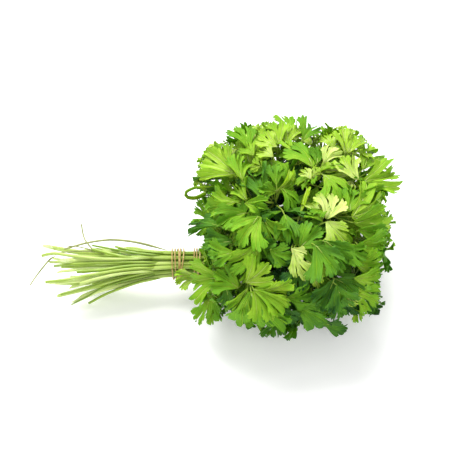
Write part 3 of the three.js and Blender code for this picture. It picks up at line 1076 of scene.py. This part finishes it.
def mottle_group():
    """Cloudy unevenness on Object coordinates. It is built the first time that a finish uses it."""
    if "Mottle" in bpy.data.node_groups:
        return bpy.data.node_groups["Mottle"]
    group, nodes, given, put = new_group("Mottle", ("Scale", "Least", "Most"), ("Value",))
    place = nodes.add("ShaderNodeTexCoord").outputs["Object"]
    noise = nodes.noise(place, given["Scale"], CLOUD_DETAIL)
    cloud = nodes.span(noise, *CLOUD_SPAN, given["Least"], given["Most"])
    join(nodes, cloud, put["Value"])
    return group


def vein_group():
    """A leaflet's veins on its lay, one up each lobe and a fan of fine ones, and its share of the way out."""
    if "Leaf veins" in bpy.data.node_groups:
        return bpy.data.node_groups["Leaf veins"]
    group, nodes, given, put = new_group("Leaf veins", ("Lobe Angle", "Lobe Foot"), ("Main", "Fine", "Out"))
    lay = nodes.attribute("lay").outputs["Vector"]
    apart = nodes.add("ShaderNodeSeparateXYZ", {"Vector": lay}).outputs
    aside = nodes.math("ABSOLUTE", apart["X"])
    midrib = nodes.span(aside, *MIDRIB_EDGE, 1.0, 0.0)
    across = nodes.math("MULTIPLY", aside, nodes.math("COSINE", given["Lobe Angle"]))
    height = nodes.math("SUBTRACT", apart["Y"], given["Lobe Foot"])
    along = nodes.math("MULTIPLY", height, nodes.math("SINE", given["Lobe Angle"]))
    beside = nodes.math("ABSOLUTE", nodes.math("SUBTRACT", across, along))
    lobe = nodes.span(beside, *LOBE_VEIN_EDGE, 1.0, 0.0)
    join(nodes, nodes.math("MAXIMUM", midrib, lobe), put["Main"])
    fan = nodes.math("ARCTAN2", apart["X"], nodes.math("ADD", apart["Y"], VEIN_FAN_FOOT))
    waver = nodes.noise(lay, VEIN_WAVERS, 1.0)
    swept_fan = nodes.math("MULTIPLY_ADD", waver, VEIN_WAVER, nodes.math("MULTIPLY", fan, VEINS_IN_FAN))
    stripes = nodes.math("PINGPONG", swept_fan, 0.5)
    join(nodes, nodes.span(stripes, *FINE_VEIN_EDGE, 1.0, 0.0), put["Fine"])
    flat = nodes.add("ShaderNodeCombineXYZ", {"X": apart["X"], "Y": apart["Y"]}).outputs[0]
    out = nodes.add("ShaderNodeVectorMath", {0: flat}, operation="LENGTH").outputs["Value"]
    join(nodes, nodes.math("POWER", out, 2.0), put["Out"])
    return group


def clouds(nodes, scale, least=0.0, most=1.0):
    """The mottle effect, placed in a finish."""
    sizes = {"Scale": scale, "Least": least, "Most": most}
    return nodes.add("ShaderNodeGroup", sizes, node_tree=mottle_group()).outputs["Value"]


def bumped(nodes, height, relief):
    distance, strength = relief
    bump = nodes.add("ShaderNodeBump", {"Height": height, "Distance": distance, "Strength": strength})
    return bump.outputs[0]


def new_finish(name):
    """A material with an empty tree, and its shader."""
    material = bpy.data.materials.new(name)
    material.use_nodes = True
    nodes = Nodes(material.node_tree)
    return material, nodes, material.node_tree.nodes["Principled BSDF"].inputs


def ramp(nodes, value, *stops):
    node = nodes.add("ShaderNodeValToRGB", {"Fac": value})
    for _ in stops[2:]:
        node.color_ramp.elements.new(0.5)
    for element, (place, colour) in zip(node.color_ramp.elements, stops):
        element.position = place
        element.color = (*colour, 1)
    return node.outputs["Color"]


def let_light_in(shader, radius, scale):
    """Green tissue, which light goes into a little way."""
    shader["Subsurface Weight"].default_value = TISSUE_LIGHT
    shader["Subsurface Radius"].default_value = radius
    shader["Subsurface Scale"].default_value = scale


def blade_finish(name, colours, roughness):
    """A leaf's surface: coloured by its tone, with pale veins that stand in channels."""
    material, nodes, shader = new_finish(name)
    tone = nodes.attribute("tone").outputs["Fac"]
    cloud = clouds(nodes, BLADE_CLOUDS, -BLADE_MOTTLE, BLADE_MOTTLE)
    veins = nodes.add("ShaderNodeGroup", VEIN_LAY, node_tree=vein_group()).outputs
    # The tone holds painted light and shade besides age: leaves deep in the head, low in front and in the
    # fold are painted darker, and those at the top and back paler.
    age = nodes.math("ADD", tone, cloud)
    age = nodes.math("MULTIPLY_ADD", veins["Out"], DARKER_OUT, age)
    shown = nodes.math("MAXIMUM", veins["Main"], nodes.math("MULTIPLY", veins["Fine"], FINE_SHOWN))
    age = nodes.math("SUBTRACT", age, nodes.math("MULTIPLY", shown, PALER_VEINS))
    join(nodes, ramp(nodes, age, *zip(TONE_STOPS, colours)), shader["Base Color"])
    smooth, rough = roughness - ROUGHNESS_SPREAD, roughness + ROUGHNESS_SPREAD
    join(nodes, nodes.span(cloud, -BLADE_MOTTLE, BLADE_MOTTLE, smooth, rough), shader["Roughness"])
    join(nodes, bumped(nodes, nodes.math("SUBTRACT", 1.0, shown), VEIN_RELIEF), shader["Normal"])
    shader["Specular IOR Level"].default_value = BLADE_SHINE
    let_light_in(shader, *BLADE_LIGHT)
    return material


def stalk_finish(settings):
    """A stalk's skin: pale at the cut end, greener towards the leaves, with streaks that follow it."""
    material, nodes, shader = new_finish("stalk_skin")
    tone = nodes.attribute("tone").outputs["Fac"]
    lay = nodes.attribute("lay").outputs["Vector"]
    stretched = nodes.add("ShaderNodeVectorMath", {0: lay, 1: STREAK_STRETCH}, operation="MULTIPLY")
    streaks = nodes.noise(stretched.outputs[0], STREAK_SCALE, STREAK_DETAIL)
    cloud = clouds(nodes, STALK_CLOUDS, -STALK_MOTTLE, STALK_MOTTLE)
    streaked = nodes.math("MULTIPLY_ADD", nodes.math("SUBTRACT", streaks, 0.5), STREAK_DEPTH, tone)
    age = nodes.math("ADD", streaked, cloud)
    base = ramp(nodes, age, (0.0, settings.pale), (STALK_MIDDLE, settings.middle), (1.0, settings.dark))
    join(nodes, base, shader["Base Color"])
    join(nodes, nodes.span(streaks, *CLOUD_SPAN, *STALK_ROUGHNESS), shader["Roughness"])
    join(nodes, bumped(nodes, streaks, STREAK_RELIEF), shader["Normal"])
    let_light_in(shader, *STALK_LIGHT)
    return material


def clouded_finish(name, light, dark, sizes, relief=None):
    """Two colours in clouds, rougher where it is darker: a dry strand, cut pith or band rubber."""
    material, nodes, shader = new_finish(name)
    scale, smooth, rough = sizes
    cloud = clouds(nodes, scale)
    join(nodes, nodes.mix(cloud, light, dark), shader["Base Color"])
    join(nodes, nodes.span(cloud, 0.0, 1.0, smooth, rough), shader["Roughness"])
    if relief:
        join(nodes, bumped(nodes, cloud, relief), shader["Normal"])
    return material


# ---- Settings ----

def number(name, description, default, **settings):
    return bpy.props.FloatProperty(name=name, description=description, default=default, **settings)


def length(name, description, default):
    return number(name, description, default, unit="LENGTH", precision=5)


def colour(name, description, default):
    return bpy.props.FloatVectorProperty(
        name=name, description=description, default=default, subtype="COLOR", min=0, max=1)


class ParsleyLeafSettings(bpy.types.PropertyGroup):
    thickness: length("Thickness", "Thickness of a leaf's blade", 0.00036)
    ruffle: number("Ruffle", "How far a leaflet's edge waves, in leaflet lengths", 0.12)
    # The colours along a leaf's tone. Besides age, the tone paints light and shade: the paler colours go to
    # leaves at the top and back, where the light falls, and the darker ones go to leaves deep in the head,
    # low in front and in the fold between its halves, which lie in shade.
    pale: colour("Pale", "Colour of the palest new leaves", (0.58, 0.72, 0.15))
    young: colour("Young", "Colour of young leaves", (0.29, 0.47, 0.01))
    grown: colour("Grown", "Colour of most leaves", (0.1, 0.29, 0.001))
    old_and_shaded: colour("Old", "Colour of old leaves", (0.042, 0.15, 0.006))
    oldest_and_shaded: colour("Deep", "Colour of the oldest leaves", (0.01, 0.05, 0.006))
    # Their undersides, with the same painted light and shade.
    pale_under: colour("Pale underside", "Underside of the palest leaves", (0.58, 0.71, 0.2))
    young_under: colour("Young underside", "Underside of young leaves", (0.3, 0.49, 0.03))
    grown_under: colour("Grown underside", "Underside of most leaves", (0.14, 0.33, 0.012))
    old_and_shaded_under: colour("Old underside", "Underside of old leaves", (0.065, 0.19, 0.015))
    oldest_and_shaded_under: colour("Deep underside", "Underside of the oldest leaves", (0.02, 0.08, 0.015))


class ParsleyStalkSettings(bpy.types.PropertyGroup):
    cut_radius: length("Cut end radius", "Radius of a stalk at its cut end", 0.0018)
    neck_radius: length("Tied radius", "Radius of a stalk at the tie", 0.0017)
    fork_radius: length("Fork radius", "Radius of a stalk where it forks", 0.0011)
    sprig_radius: length("Sprig radius", "Radius of a leaf's sprig at its foot", 0.0008)
    pale: colour("Pale", "Skin at the cut end", (0.57, 0.68, 0.24))
    middle: colour("Middle", "Skin half way along", (0.3, 0.43, 0.045))
    dark: colour("Dark", "Skin among the leaves", (0.13, 0.25, 0.014))
    dry_light: colour("Dry, light", "Lighter part of a dry strand", (0.36, 0.38, 0.16))
    dry_dark: colour("Dry, dark", "Darker part of a dry strand", (0.2, 0.23, 0.07))
    pith: colour("Pith", "Face of the cut end", (0.75, 0.85, 0.5))


class ParsleyBandSettings(bpy.types.PropertyGroup):
    radius: length("Strand radius", "Radius of a band's strand", 0.00055)
    light: colour("Light", "Lighter part of the rubber", (0.57, 0.42, 0.16))
    dark: colour("Dark", "Darker part of the rubber", (0.34, 0.22, 0.06))


class ParsleyStageSettings(bpy.types.PropertyGroup):
    floor: colour("Floor", "Colour of the floor", (0.9, 0.9, 0.9))
    glow: number("Floor glow", "Light that the floor gives off", 0.2)
    distance: length("Camera distance", "From the camera to what it looks at", EYE_DISTANCE * MM)
    elevation: number(
        "Elevation", "How far the camera looks down", EYE_TILT, subtype="ANGLE", unit="ROTATION")
    target: bpy.props.FloatVectorProperty(
        name="Target", description="What the camera looks at", default=tuple(EYE_TARGET * MM),
        subtype="TRANSLATION", unit="LENGTH")
    lens: number("Lens", "Focal length in millimetres", 116.3)
    key: number("Key", "Power of the light from above", 36, unit="POWER")
    fill: number("Fill", "Power of the light from in front", 11, unit="POWER")
    sky: number("Sky", "Strength of the light from all round", 0.72)


# ---- Pieces ----

LOOKS_SEED = 5

# How finely stalks and sprigs are modelled, and how far out the dents between their ribs are.
STALK_SIDES = 12
STALK_RINGS = 24
STALK_RIB = 0.86
SPRIG_SIDES = 6
SPRIG_RINGS = 6

# A leaflet: how its edge waves, how far it leans, how uneven its two sides are, and how far its fan is open.
RUFFLE_WAVES = (9, 4)
LEAN = (0, 0.3)
LOPSIDED = (0, 0.25)
OPENING = (0.86, 0.18)

# From what height leaves bend over, and by what share of the rest.
BENT_OVER = 110
BENT_BY = 0.55

# A side lobe's own tilt, and where across and along the leaflet it starts.
LOBE_TILT = (0.05, 0.25)
LOBE_ASIDE = (0.2, 0.35)
LOBE_FROM = 0.4

# The shapes of a leaflet: its fan's spread, its side lobes' angle, length and bend, its crown's length, and
# how long its teeth are. Then the shapes of a leaf's three leaflets, the end one first.
SHAPES = {
    "broad": (1.08, 0.74, 0.35, 0.42, 0.37, 0.13),
    "slim": (0.86, 0.62, 0.34, 0.34, 0.39, 0.12),
    "long": (0.74, 0.6, 0.46, 0.26, 0.44, 0.1),
}
LEAF_SHAPES = (
    ("broad", "slim", "slim"), ("slim", "slim", "slim"), ("broad", "long", "long"), ("long", "slim", "slim"),
)

# Which of a leafy stem's materials its faces take. A leaflet's underside takes the one after its own.
UPPER, SKIN, PITH = 0, 2, 3

# A leaf's tone: most leaves', what it changes by towards the right, back and top, which paints light and
# shade, paler towards the top and back where the light falls and darker towards the right, front and bottom,
# what it gains towards the middle of the head, which is painted shade, and its spread.
TONE = 0.34
PAINTED_SHADING_WAY = np.array([0.05, -0.22, -0.18])
PAINTED_SHADE_INSIDE = 1.3
PAINTED_SHADE_START = 0.86
TONE_SPREAD = (0, 0.2)
TONE_YOUNGEST = 0.08
LEAFLET_TONE = (0, 0.07)

# Painted shade in the fold between the bunch's two halves, where the leaves are painted darkest: where it is
# seen, its half width and half height, and how much darker they are painted.
PAINTED_SHADE_FOLD = (48, 0)
PAINTED_SHADE_FOLD_HALF = (20, 62)
PAINTED_SHADE_FOLD_DEEPER = 0.5

# A stalk: how far its cut end is slanted, in radii, the cut's width, where along the stalk it is full and
# where it is as thin as at the tie, its own width, how far it wavers, its tone at the cut and what it gains.
CUT_SLANT = (2.2, 1.4)
CUT_WIDTH = (0.72, 0.28)
CUT_FULL = 0.07
TIED_AT = 0.4
STALK_WIDTH = (0.88, 0.3)
STALK_WAVER = 1.8
STALK_TONE = (0.1, 0.2)
STALK_TONE_GAIN = 0.9
STREAKS_APART = 7

# A sprig: how far it runs up its first leaflet, how much thinner it gets, and its tone.
SPRIG_UP = 0.3
SPRIG_TAPER = 0.4
SPRIG_TONE = 0.6

SMOOTH_ANGLE = math.radians(50)


def take_up(piece, *others):
    """Selects pieces and makes the first the active one."""
    deselect()
    for each in (piece, *others):
        each.select_set(True)
    bpy.context.view_layer.objects.active = piece


def finish_piece(piece, slot, *nodes):
    """Smooths a piece, sets it on the body that it rides on, and hides the model's parts that it stands for.
    """
    take_up(piece)
    bpy.ops.object.shade_smooth_by_angle(angle=SMOOTH_ANGLE)
    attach(piece, BODY)
    if nodes:
        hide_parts(*nodes)


def kept_between(points, lowest):
    """Points laid flat where they would reach under the floor, and bent over at the very top."""
    height = np.maximum(points[:, 2], lowest)
    points[:, 2] = height - BENT_BY * np.maximum(0, height - BENT_OVER)
    return points


def leaflet_points(draws, leaf, leaflet, pattern, ruffle):
    """One leaflet's points in the bunch: its fan opened or closed, one side longer than the other, and its
    edge waved."""
    flat = pattern.points.copy()
    out = np.hypot(flat[:, 0], flat[:, 1])
    turn = np.arctan2(flat[:, 0], flat[:, 1])
    wave = np.sin(turn * draws.near(RUFFLE_WAVES) + draws.near((0, math.pi)))
    out *= 1 + draws.near(LOPSIDED) * np.sin(turn)
    turn *= draws.near(OPENING)
    turn += draws.near(LEAN) * out**2
    tilt = np.where(turn < 0, draws.near(LOBE_TILT), draws.near(LOBE_TILT))
    tilt *= np.interp(abs(turn), LOBE_ASIDE, (0, 1)) * np.maximum(0, out - LOBE_FROM)
    flat[:, 0], flat[:, 1] = out * np.sin(turn), out * np.cos(turn)
    flat[:, 2] += ruffle * wave * out**2 + tilt
    return kept_between(leaf.place(leaflet.at(flat)), LOWEST_LEAF)


def leaf_tone_and_shade(draws, leaf):
    """From 0, palest, to 1, darkest, with painted shade: darker inside the head, low on its right and in the
    fold between its halves.
    """
    if leaf.tone is not None:
        return leaf.tone
    place = (leaf.place(np.array([[0, END_FOOT, 0]]))[0] - HEAD_MIDDLE) / HEAD_HALF
    # Painted shade: the deeper inside the head a leaf lies, the darker it is painted.
    inside = max(0, PAINTED_SHADE_START - bulge(place))
    # Painted shade in the fold between the bunch's two halves, darkest in its middle.
    apart = leaf.foot - EYE_TARGET
    aside = (np.array([apart @ RIGHT, apart @ SEEN_UP]) - PAINTED_SHADE_FOLD) / PAINTED_SHADE_FOLD_HALF
    fold = PAINTED_SHADE_FOLD_DEEPER * math.exp(-(aside @ aside))
    # The change towards the right, back and top is painted light and shade. The spread is the leaf's own.
    tone = TONE + place @ PAINTED_SHADING_WAY + PAINTED_SHADE_INSIDE * inside + fold + draws.near(TONE_SPREAD)
    return float(np.clip(tone, TONE_YOUNGEST, 1))


class PARSLEY_OT_leafy_stems(bpy.types.Operator):
    """Builds the leafy stems, each a stalk with sprigs and their leaves"""
    bl_idname = "parsley.leafy_stems"
    bl_label = "Leafy stems"

    def execute(self, context):
        leaf_settings = context.scene.parsley_leaf
        stalk_settings = context.scene.parsley_stalk
        materials = self.finishes(leaf_settings, stalk_settings)
        shapes = {name: model_leaflet(*sizes) for name, sizes in SHAPES.items()}
        stalk = model_tube(STALK_SIDES, STALK_RINGS, STALK_RIB)
        sprig = model_tube(SPRIG_SIDES, SPRIG_RINGS, STALK_RIB)
        draws = Stream(LOOKS_SEED)
        stems, taken = plan_bunch()
        fill_head(stems, taken, place_standouts(stems, taken))
        for stem in stems:
            blades, tubes = Heap(), Heap()
            self.add_stalk(tubes, draws, stem, stalk, stalk_settings)
            for leaf in stem.leaves:
                tone = leaf_tone_and_shade(draws, leaf)
                self.add_sprig(tubes, leaf, sprig, stalk_settings)
                names = [leaf.shape] if leaf.shape else LEAF_SHAPES[int(draws.number() * len(LEAF_SHAPES))]
                for leaflet, name in zip(leaf.leaflets, names):
                    shape = shapes[name]
                    points = leaflet_points(draws, leaf, leaflet, shape, leaf_settings.ruffle)
                    lay = shape.points / [shape.spread, 1, 1]
                    lay[:, 2] = draws.number()
                    own = tone + draws.near(LEAFLET_TONE)
                    blades.add(shape, points, lay, own, [UPPER] * len(shape.faces))
            piece = blades.build(stem.name + "_piece", materials)
            self.thicken(piece, leaf_settings.thickness)
            take_up(piece, tubes.build(stem.name + "_tubes", materials))
            bpy.ops.object.join()
            finish_piece(piece, LEAF_SLOT, stem.name)
        return {"FINISHED"}

    def finishes(self, leaf, stalk):
        """The finishes of a leafy stem, in the order that its faces count them."""
        upper = (leaf.pale, leaf.young, leaf.grown, leaf.old_and_shaded, leaf.oldest_and_shaded)
        under = (leaf.pale_under, leaf.young_under, leaf.grown_under, leaf.old_and_shaded_under, leaf.oldest_and_shaded_under)
        return [
            blade_finish("leaf_upper", upper, UPPER_ROUGHNESS),
            blade_finish("leaf_underside", under, UNDER_ROUGHNESS),
            stalk_finish(stalk),
            clouded_finish("cut_pith", stalk.pith, stalk.pale, PITH_CLOUDS),
        ]

    def add_stalk(self, tubes, draws, stem, pattern, settings):
        """A stalk with a slanted cut at its end."""
        shares = np.linspace(0, 1, STALK_RINGS + 1)
        route = stem.path.copy()
        for i in range(FAN_STEPS - 1):
            route[i] += draws.vector(STALK_WAVER)
        path = smooth_path(route, shares)
        cut = settings.cut_radius * draws.near(STALK_WIDTH) / MM
        radii = np.interp(shares, (0, CUT_FULL, TIED_AT, 1), (
            cut * draws.near(CUT_WIDTH), cut, settings.neck_radius / MM, settings.fork_radius / MM))
        points = swept(pattern, path, radii)
        end = pattern.points[:, 2] == 0
        turn = draws.near((0, math.pi))
        slant = radii[0] * draws.near(CUT_SLANT)
        aside = pattern.points[end, :2] @ [[math.cos(turn)], [math.sin(turn)]]
        points[end] += slant * aside * unit(path[1] - path[0])
        points[:, 2] = np.maximum(points[:, 2], 0)
        finishes = [PITH if all(end[i] for i in face) else SKIN for face in pattern.faces]
        lay = pattern.points + [STREAKS_APART * draws.number(), 0, 0]
        tone = pattern.points[:, 2] * STALK_TONE_GAIN + draws.near(STALK_TONE)
        tubes.add(pattern, points, lay, tone, finishes)

    def add_sprig(self, tubes, leaf, pattern, settings):
        """A sprig that tapers from its stalk into the middle of its leaf."""
        rib = leaf.place(np.array([*leaf.rib, *leaf.leaflets[0].at(np.array([[0, SPRIG_UP, 0]]))]))
        path = smooth_path([leaf.root, leaf.foot, *rib], np.linspace(0, 1, SPRIG_RINGS + 1))
        path[:, 2] = np.maximum(path[:, 2], LOWEST_LEAF)
        radii = np.linspace(1, SPRIG_TAPER, SPRIG_RINGS + 1) * settings.sprig_radius / MM
        points = kept_between(swept(pattern, path, radii), 0)
        tubes.add(pattern, points, pattern.points, SPRIG_TONE, [SKIN] * len(pattern.faces))

    def thicken(self, piece, thickness):
        take_up(piece)
        solid = piece.modifiers.new("Thickness", "SOLIDIFY")
        solid.thickness = thickness
        solid.offset = 0
        solid.material_offset = 1
        bpy.ops.object.modifier_apply(modifier=solid.name)


# Loose stalks and dry strands that lie over the others: each one's radius at its root and at its tip, its
# tone, its finish, how near it lies where nothing is under it, and the places where it is seen, root first.
STALK, DRY, GREEN = range(3)
STRANDS = (
    (1.2, 1.4, 0.25, STALK, 0, (-56, -25), (-90, -26.5), (-115, -25), (-140, -22), (-151, -24)),
    (1.1, 1.2, 0.55, STALK, 0, (-54, -29), (-80, -29), (-104, -29.5), (-125, -30.5), (-141, -32.5)),
    (1.1, 1.3, 0.4, STALK, 0, (-56, -33), (-80, -34.5), (-110, -39), (-130, -43), (-146, -45)),
    (1.0, 1.1, 0.5, STALK, 0, (-54, -36), (-76, -40), (-99, -46), (-116, -51), (-134, -55)),
    (0.9, 0.6, 0.8, STALK, 0, (-56, -38.5), (-80, -43.5), (-101, -50), (-113, -57), (-127, -64)),
    (1.2, 1.0, 0.6, STALK, 0, (-53, -42), (-70, -45), (-88, -51), (-100, -56), (-113, -63)),
    (0.9, 0.8, 0.75, STALK, 0, (-52, -23.5), (-75, -21.5), (-95, -18), (-110, -15.5)),
    (0.8, 1.0, 0.5, STALK, 0, (-50, -21.5), (-65, -20.5), (-78, -19), (-91, -16.5)),
    (1.0, 1.2, 0.5, STALK, 0, (-58, -25), (-78, -25), (-92, -22.5), (-109, -18.5)),
    (1.1, 1.4, 0.6, STALK, 0, (-56, -31), (-80, -32), (-100, -35), (-121, -36.5)),
    (1.1, 1.3, 0.2, STALK, 0, (-58, -36), (-85, -38), (-104, -42), (-118, -46)),
    (1.05, 0.8, 0, DRY, 0, (-49, -19.5), (-70, -13.8), (-85, -11.4), (-98, -11), (-115, -13.5),
     (-133, -18.5)),
    (0.7, 0.6, 0, DRY, 0, (-108, -20), (-115, -12), (-117.5, -6), (-119, 2)),
    (0.8, 0.55, 0, DRY, 4, (-140, -24), (-145, -27), (-151, -34), (-157, -42), (-161, -48)),
    (0.6, 0.45, 0, DRY, 0, (-98, -23), (-110, -19), (-122, -16.5), (-130, -16)),
    (0.6, 0.5, 0, DRY, 0, (-106, -21), (-120, -20), (-137, -21.5), (-148, -23)),
    (0.7, 1.9, 0.2, GREEN, 10, (-8, 33), (-17, 32), (-26, 31.5), (-33, 28), (-32, 24), (-25, 23.5),
     (-17, 27)),
)
STRAND_SIDES = 8
STRAND_RINGS = 18
STRAND_GAP = 0.15
STRAND_SINK = 2.5
STRAND_TAUT = 80
ROOT_THIN = 0.25
ROOT_FULL = 0.16
STALKS_MIDDLE = np.array([-90, -20, 26])
FAR = 300


def on_plane(right, up, lift):
    """A place that is seen so far to the right and up, on the plane through the stalks that faces the eye."""
    at_target, ray = sight(right, up)
    short = lift - (at_target - STALKS_MIDDLE) @ SEEN_NEAR
    return at_target + ray * short / (ray @ SEEN_NEAR)


def height_over(pieces, place):
    """How far nearer than a place the nearest of the pieces' surfaces is."""
    start = Vector((place + FAR * SEEN_NEAR) * MM)
    heights = [-math.inf]
    for piece in pieces:
        struck, spot, _, _ = piece.ray_cast(start, Vector(-SEEN_NEAR))
        if struck:
            heights.append((np.array(spot) / MM - place) @ SEEN_NEAR)
    return max(heights)


def pulled_taut(pieces, path, radii):
    """A path drawn tight over the pieces. Its root sinks in among them."""
    least = np.array([
        max(height_over(pieces, place + side * radius * SEEN_UP) for side in (-1, 0, 1)) + radius + STRAND_GAP
        for place, radius in zip(path, radii)])
    heights = np.maximum(least, 0)
    heights[0] -= STRAND_SINK
    for _ in range(STRAND_TAUT):
        heights[1:-1] = np.maximum(least[1:-1], (heights[:-2] + heights[2:]) / 2)
    return path + heights[:, None] * SEEN_NEAR


class PARSLEY_OT_strands(bpy.types.Operator):
    """Builds the loose stalks and dry strands that lie over the others"""
    bl_idname = "parsley.strands"
    bl_label = "Loose strands"

    def execute(self, context):
        settings = context.scene.parsley_stalk
        pieces = [piece for piece in context.scene.objects if piece.name.startswith("leafy_stem")
                  and piece.name.endswith("_piece")]
        dry = clouded_finish("dry_skin", settings.dry_light, settings.dry_dark, DRY_CLOUDS)
        finishes = [bpy.data.materials["stalk_skin"], dry, bpy.data.materials["leaf_upper"]]
        pattern = model_tube(STRAND_SIDES, STRAND_RINGS, 1)
        heap = Heap()
        shares = np.linspace(0, 1, STRAND_RINGS + 1)
        for root, tip, tone, finish, lift, *places in STRANDS:
            radii = np.interp(shares, (0, 1), (root, tip)) * np.interp(shares, (0, ROOT_FULL), (ROOT_THIN, 1))
            path = smooth_path([on_plane(*place, lift) for place in places], shares)
            points = swept(pattern, pulled_taut(pieces, path, radii), radii)
            points[:, 2] = np.maximum(points[:, 2], 0)
            heap.add(pattern, points, pattern.points, tone, [finish] * len(pattern.faces))
        finish_piece(heap.build("loose_strands", finishes), LEAF_SLOT)
        return {"FINISHED"}


# A band's ring before it is wound: its steps in a turn, its sides, and its strand's radius for a ring of 1.
BAND_STEPS = 40
BAND_SIDES = 8
RING_STRAND = 0.1


class PARSLEY_OT_bands(bpy.types.Operator):
    """Builds the two wound bands that tie the stalks"""
    bl_idname = "parsley.bands"
    bl_label = "Bands"

    def execute(self, context):
        settings = context.scene.parsley_band
        rubber = clouded_finish("band_rubber", settings.light, settings.dark, RUBBER_CLOUDS, RUBBER_RELIEF)
        for name, middle, turns, pitch in BANDS:
            steps = BAND_STEPS * turns
            deselect()
            bpy.ops.mesh.primitive_torus_add(
                major_segments=steps, minor_segments=BAND_SIDES, major_radius=1, minor_radius=RING_STRAND)
            edit()
            ring = Pattern()
            x, y, z = ring.points.T
            share = np.mod(np.arctan2(y, x) / (2 * math.pi), 1)
            marks = np.rint(share * steps).astype(int) % steps
            route = self.winding(np.arange(steps) / steps, middle, turns, pitch)
            ways = np.roll(route, -1, axis=0) - np.roll(route, 1, axis=0)
            ways /= np.linalg.norm(ways, axis=1)[:, None]
            outs = route - (TIE + [middle, 0, 0])
            outs[:, 0] = 0
            outs -= ways * (outs * ways).sum(1)[:, None]
            outs /= np.linalg.norm(outs, axis=1)[:, None]
            sides = np.cross(ways, outs)
            away = (np.hypot(x, y) - 1)[:, None] * outs[marks] + z[:, None] * sides[marks]
            points = route[marks] + settings.radius / MM / RING_STRAND * away
            heap = Heap()
            heap.add(ring, points, ring.points, 0, [0] * len(ring.faces))
            finish_piece(heap.build(name + "_piece", [rubber]), BAND_SLOT, name)
        return {"FINISHED"}

    def winding(self, t, middle, turns, pitch):
        """The middle of a band's strand, along its whole closed loop."""
        angle = 2 * math.pi * turns * t
        forth = turns - BAND_RETURN
        back = np.maximum(0, (turns * t - forth) / BAND_RETURN)
        along = np.where(back > 0, 0.5 - smoothstep(back), turns * t / forth - 0.5)
        lift = BAND_LIFT * np.minimum(1, BAND_RAMP * np.sin(math.pi * back))
        r = NECK_R + STALK_R + BAND_GAP + BAND_R + lift
        lean = BAND_LEAN * np.sin(BAND_LEAN_WAVES * angle) * np.cos(angle + BAND_LEAN_START)
        x = middle + along * pitch * (turns - 1) + lean * np.sin(math.pi * t)
        return TIE + np.stack([x, r * np.cos(angle), r * np.sin(angle)], 1)


# The stage, in metres: the floor's size, how fine its grain is and how dark its darker parts are, and each
# light's place and size.
FLOOR_SIZE = 8
FLOOR_GRAIN = 40.0
FLOOR_UNEVEN = 0.985
FLOOR_ROUGHNESS = 0.9
KEY_PLACE, KEY_SIZE = (-0.25, 0.75, 1.3), 1.1
FILL_PLACE, FILL_LIGHT_SIZE = (0.5, -1.3, 1.0), 1.4
WHITE = (1, 1, 1, 1)


class PARSLEY_OT_stage(bpy.types.Operator):
    """Builds the floor, the soft lights and the camera"""
    bl_idname = "parsley.stage"
    bl_label = "Stage"

    def execute(self, context):
        settings = context.scene.parsley_stage
        deselect()
        bpy.ops.mesh.primitive_plane_add(size=FLOOR_SIZE)
        floor = context.object
        floor.name = "floor"
        material, nodes, shader = new_finish("floor_paper")
        place = nodes.add("ShaderNodeTexCoord").outputs["Object"]
        grain = nodes.add("ShaderNodeTexNoise", {"Vector": place, "Scale": FLOOR_GRAIN}).outputs["Fac"]
        low = [c * FLOOR_UNEVEN for c in settings.floor]
        join(nodes, nodes.mix(grain, low, settings.floor), shader["Base Color"])
        shader["Roughness"].default_value = FLOOR_ROUGHNESS
        shader["Emission Color"].default_value = WHITE
        shader["Emission Strength"].default_value = settings.glow
        floor.data.materials.append(material)

        self.add_light("key", KEY_PLACE, KEY_SIZE, settings.key)
        self.add_light("fill", FILL_PLACE, FILL_LIGHT_SIZE, settings.fill)
        world = bpy.data.worlds.new("studio")
        world.use_nodes = True
        sky = world.node_tree.nodes["Background"].inputs
        sky["Color"].default_value = WHITE
        sky["Strength"].default_value = settings.sky
        context.scene.world = world
        context.scene.view_settings.view_transform = "Standard"

        target = Vector(settings.target)
        way = Vector((0, -math.cos(settings.elevation), math.sin(settings.elevation)))
        bpy.ops.object.camera_add(location=target + way * settings.distance)
        camera = context.object
        camera.rotation_euler = (-way).to_track_quat("-Z", "Y").to_euler()
        camera.data.lens = settings.lens
        context.scene.camera = camera
        return {"FINISHED"}

    def add_light(self, name, place, size, power):
        bpy.ops.object.light_add(type="AREA", location=place)
        light = bpy.context.object
        light.name = name
        light.data.size = size
        light.data.energy = power
        light.rotation_euler = (-Vector(place)).to_track_quat("-Z", "Y").to_euler()


class PARSLEY_PT_panel(bpy.types.Panel):
    """Lists the pieces of the bunch"""
    bl_idname = "PARSLEY_PT_panel"
    bl_label = "Parsley bunch"
    bl_space_type = "VIEW_3D"
    bl_region_type = "UI"
    bl_category = "Parsley"

    def draw(self, context):
        for operator in OPERATORS:
            self.layout.operator(operator.bl_idname)


SETTINGS = {
    "parsley_leaf": ParsleyLeafSettings,
    "parsley_stalk": ParsleyStalkSettings,
    "parsley_band": ParsleyBandSettings,
    "parsley_stage": ParsleyStageSettings,
}
OPERATORS = (PARSLEY_OT_leafy_stems, PARSLEY_OT_strands, PARSLEY_OT_bands, PARSLEY_OT_stage)
CLASSES = (*SETTINGS.values(), *OPERATORS, PARSLEY_PT_panel)


def register():
    for kind in CLASSES:
        bpy.utils.register_class(kind)
    for name, kind in SETTINGS.items():
        setattr(bpy.types.Scene, name, bpy.props.PointerProperty(type=kind))


def unregister():
    for name in SETTINGS:
        delattr(bpy.types.Scene, name)
    for kind in reversed(CLASSES):
        bpy.utils.unregister_class(kind)


def main():
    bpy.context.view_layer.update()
    register()
    bpy.ops.parsley.leafy_stems()
    bpy.ops.parsley.strands()
    bpy.ops.parsley.bands()
    bpy.ops.parsley.stage()


if __name__ == "__main__":
    main()
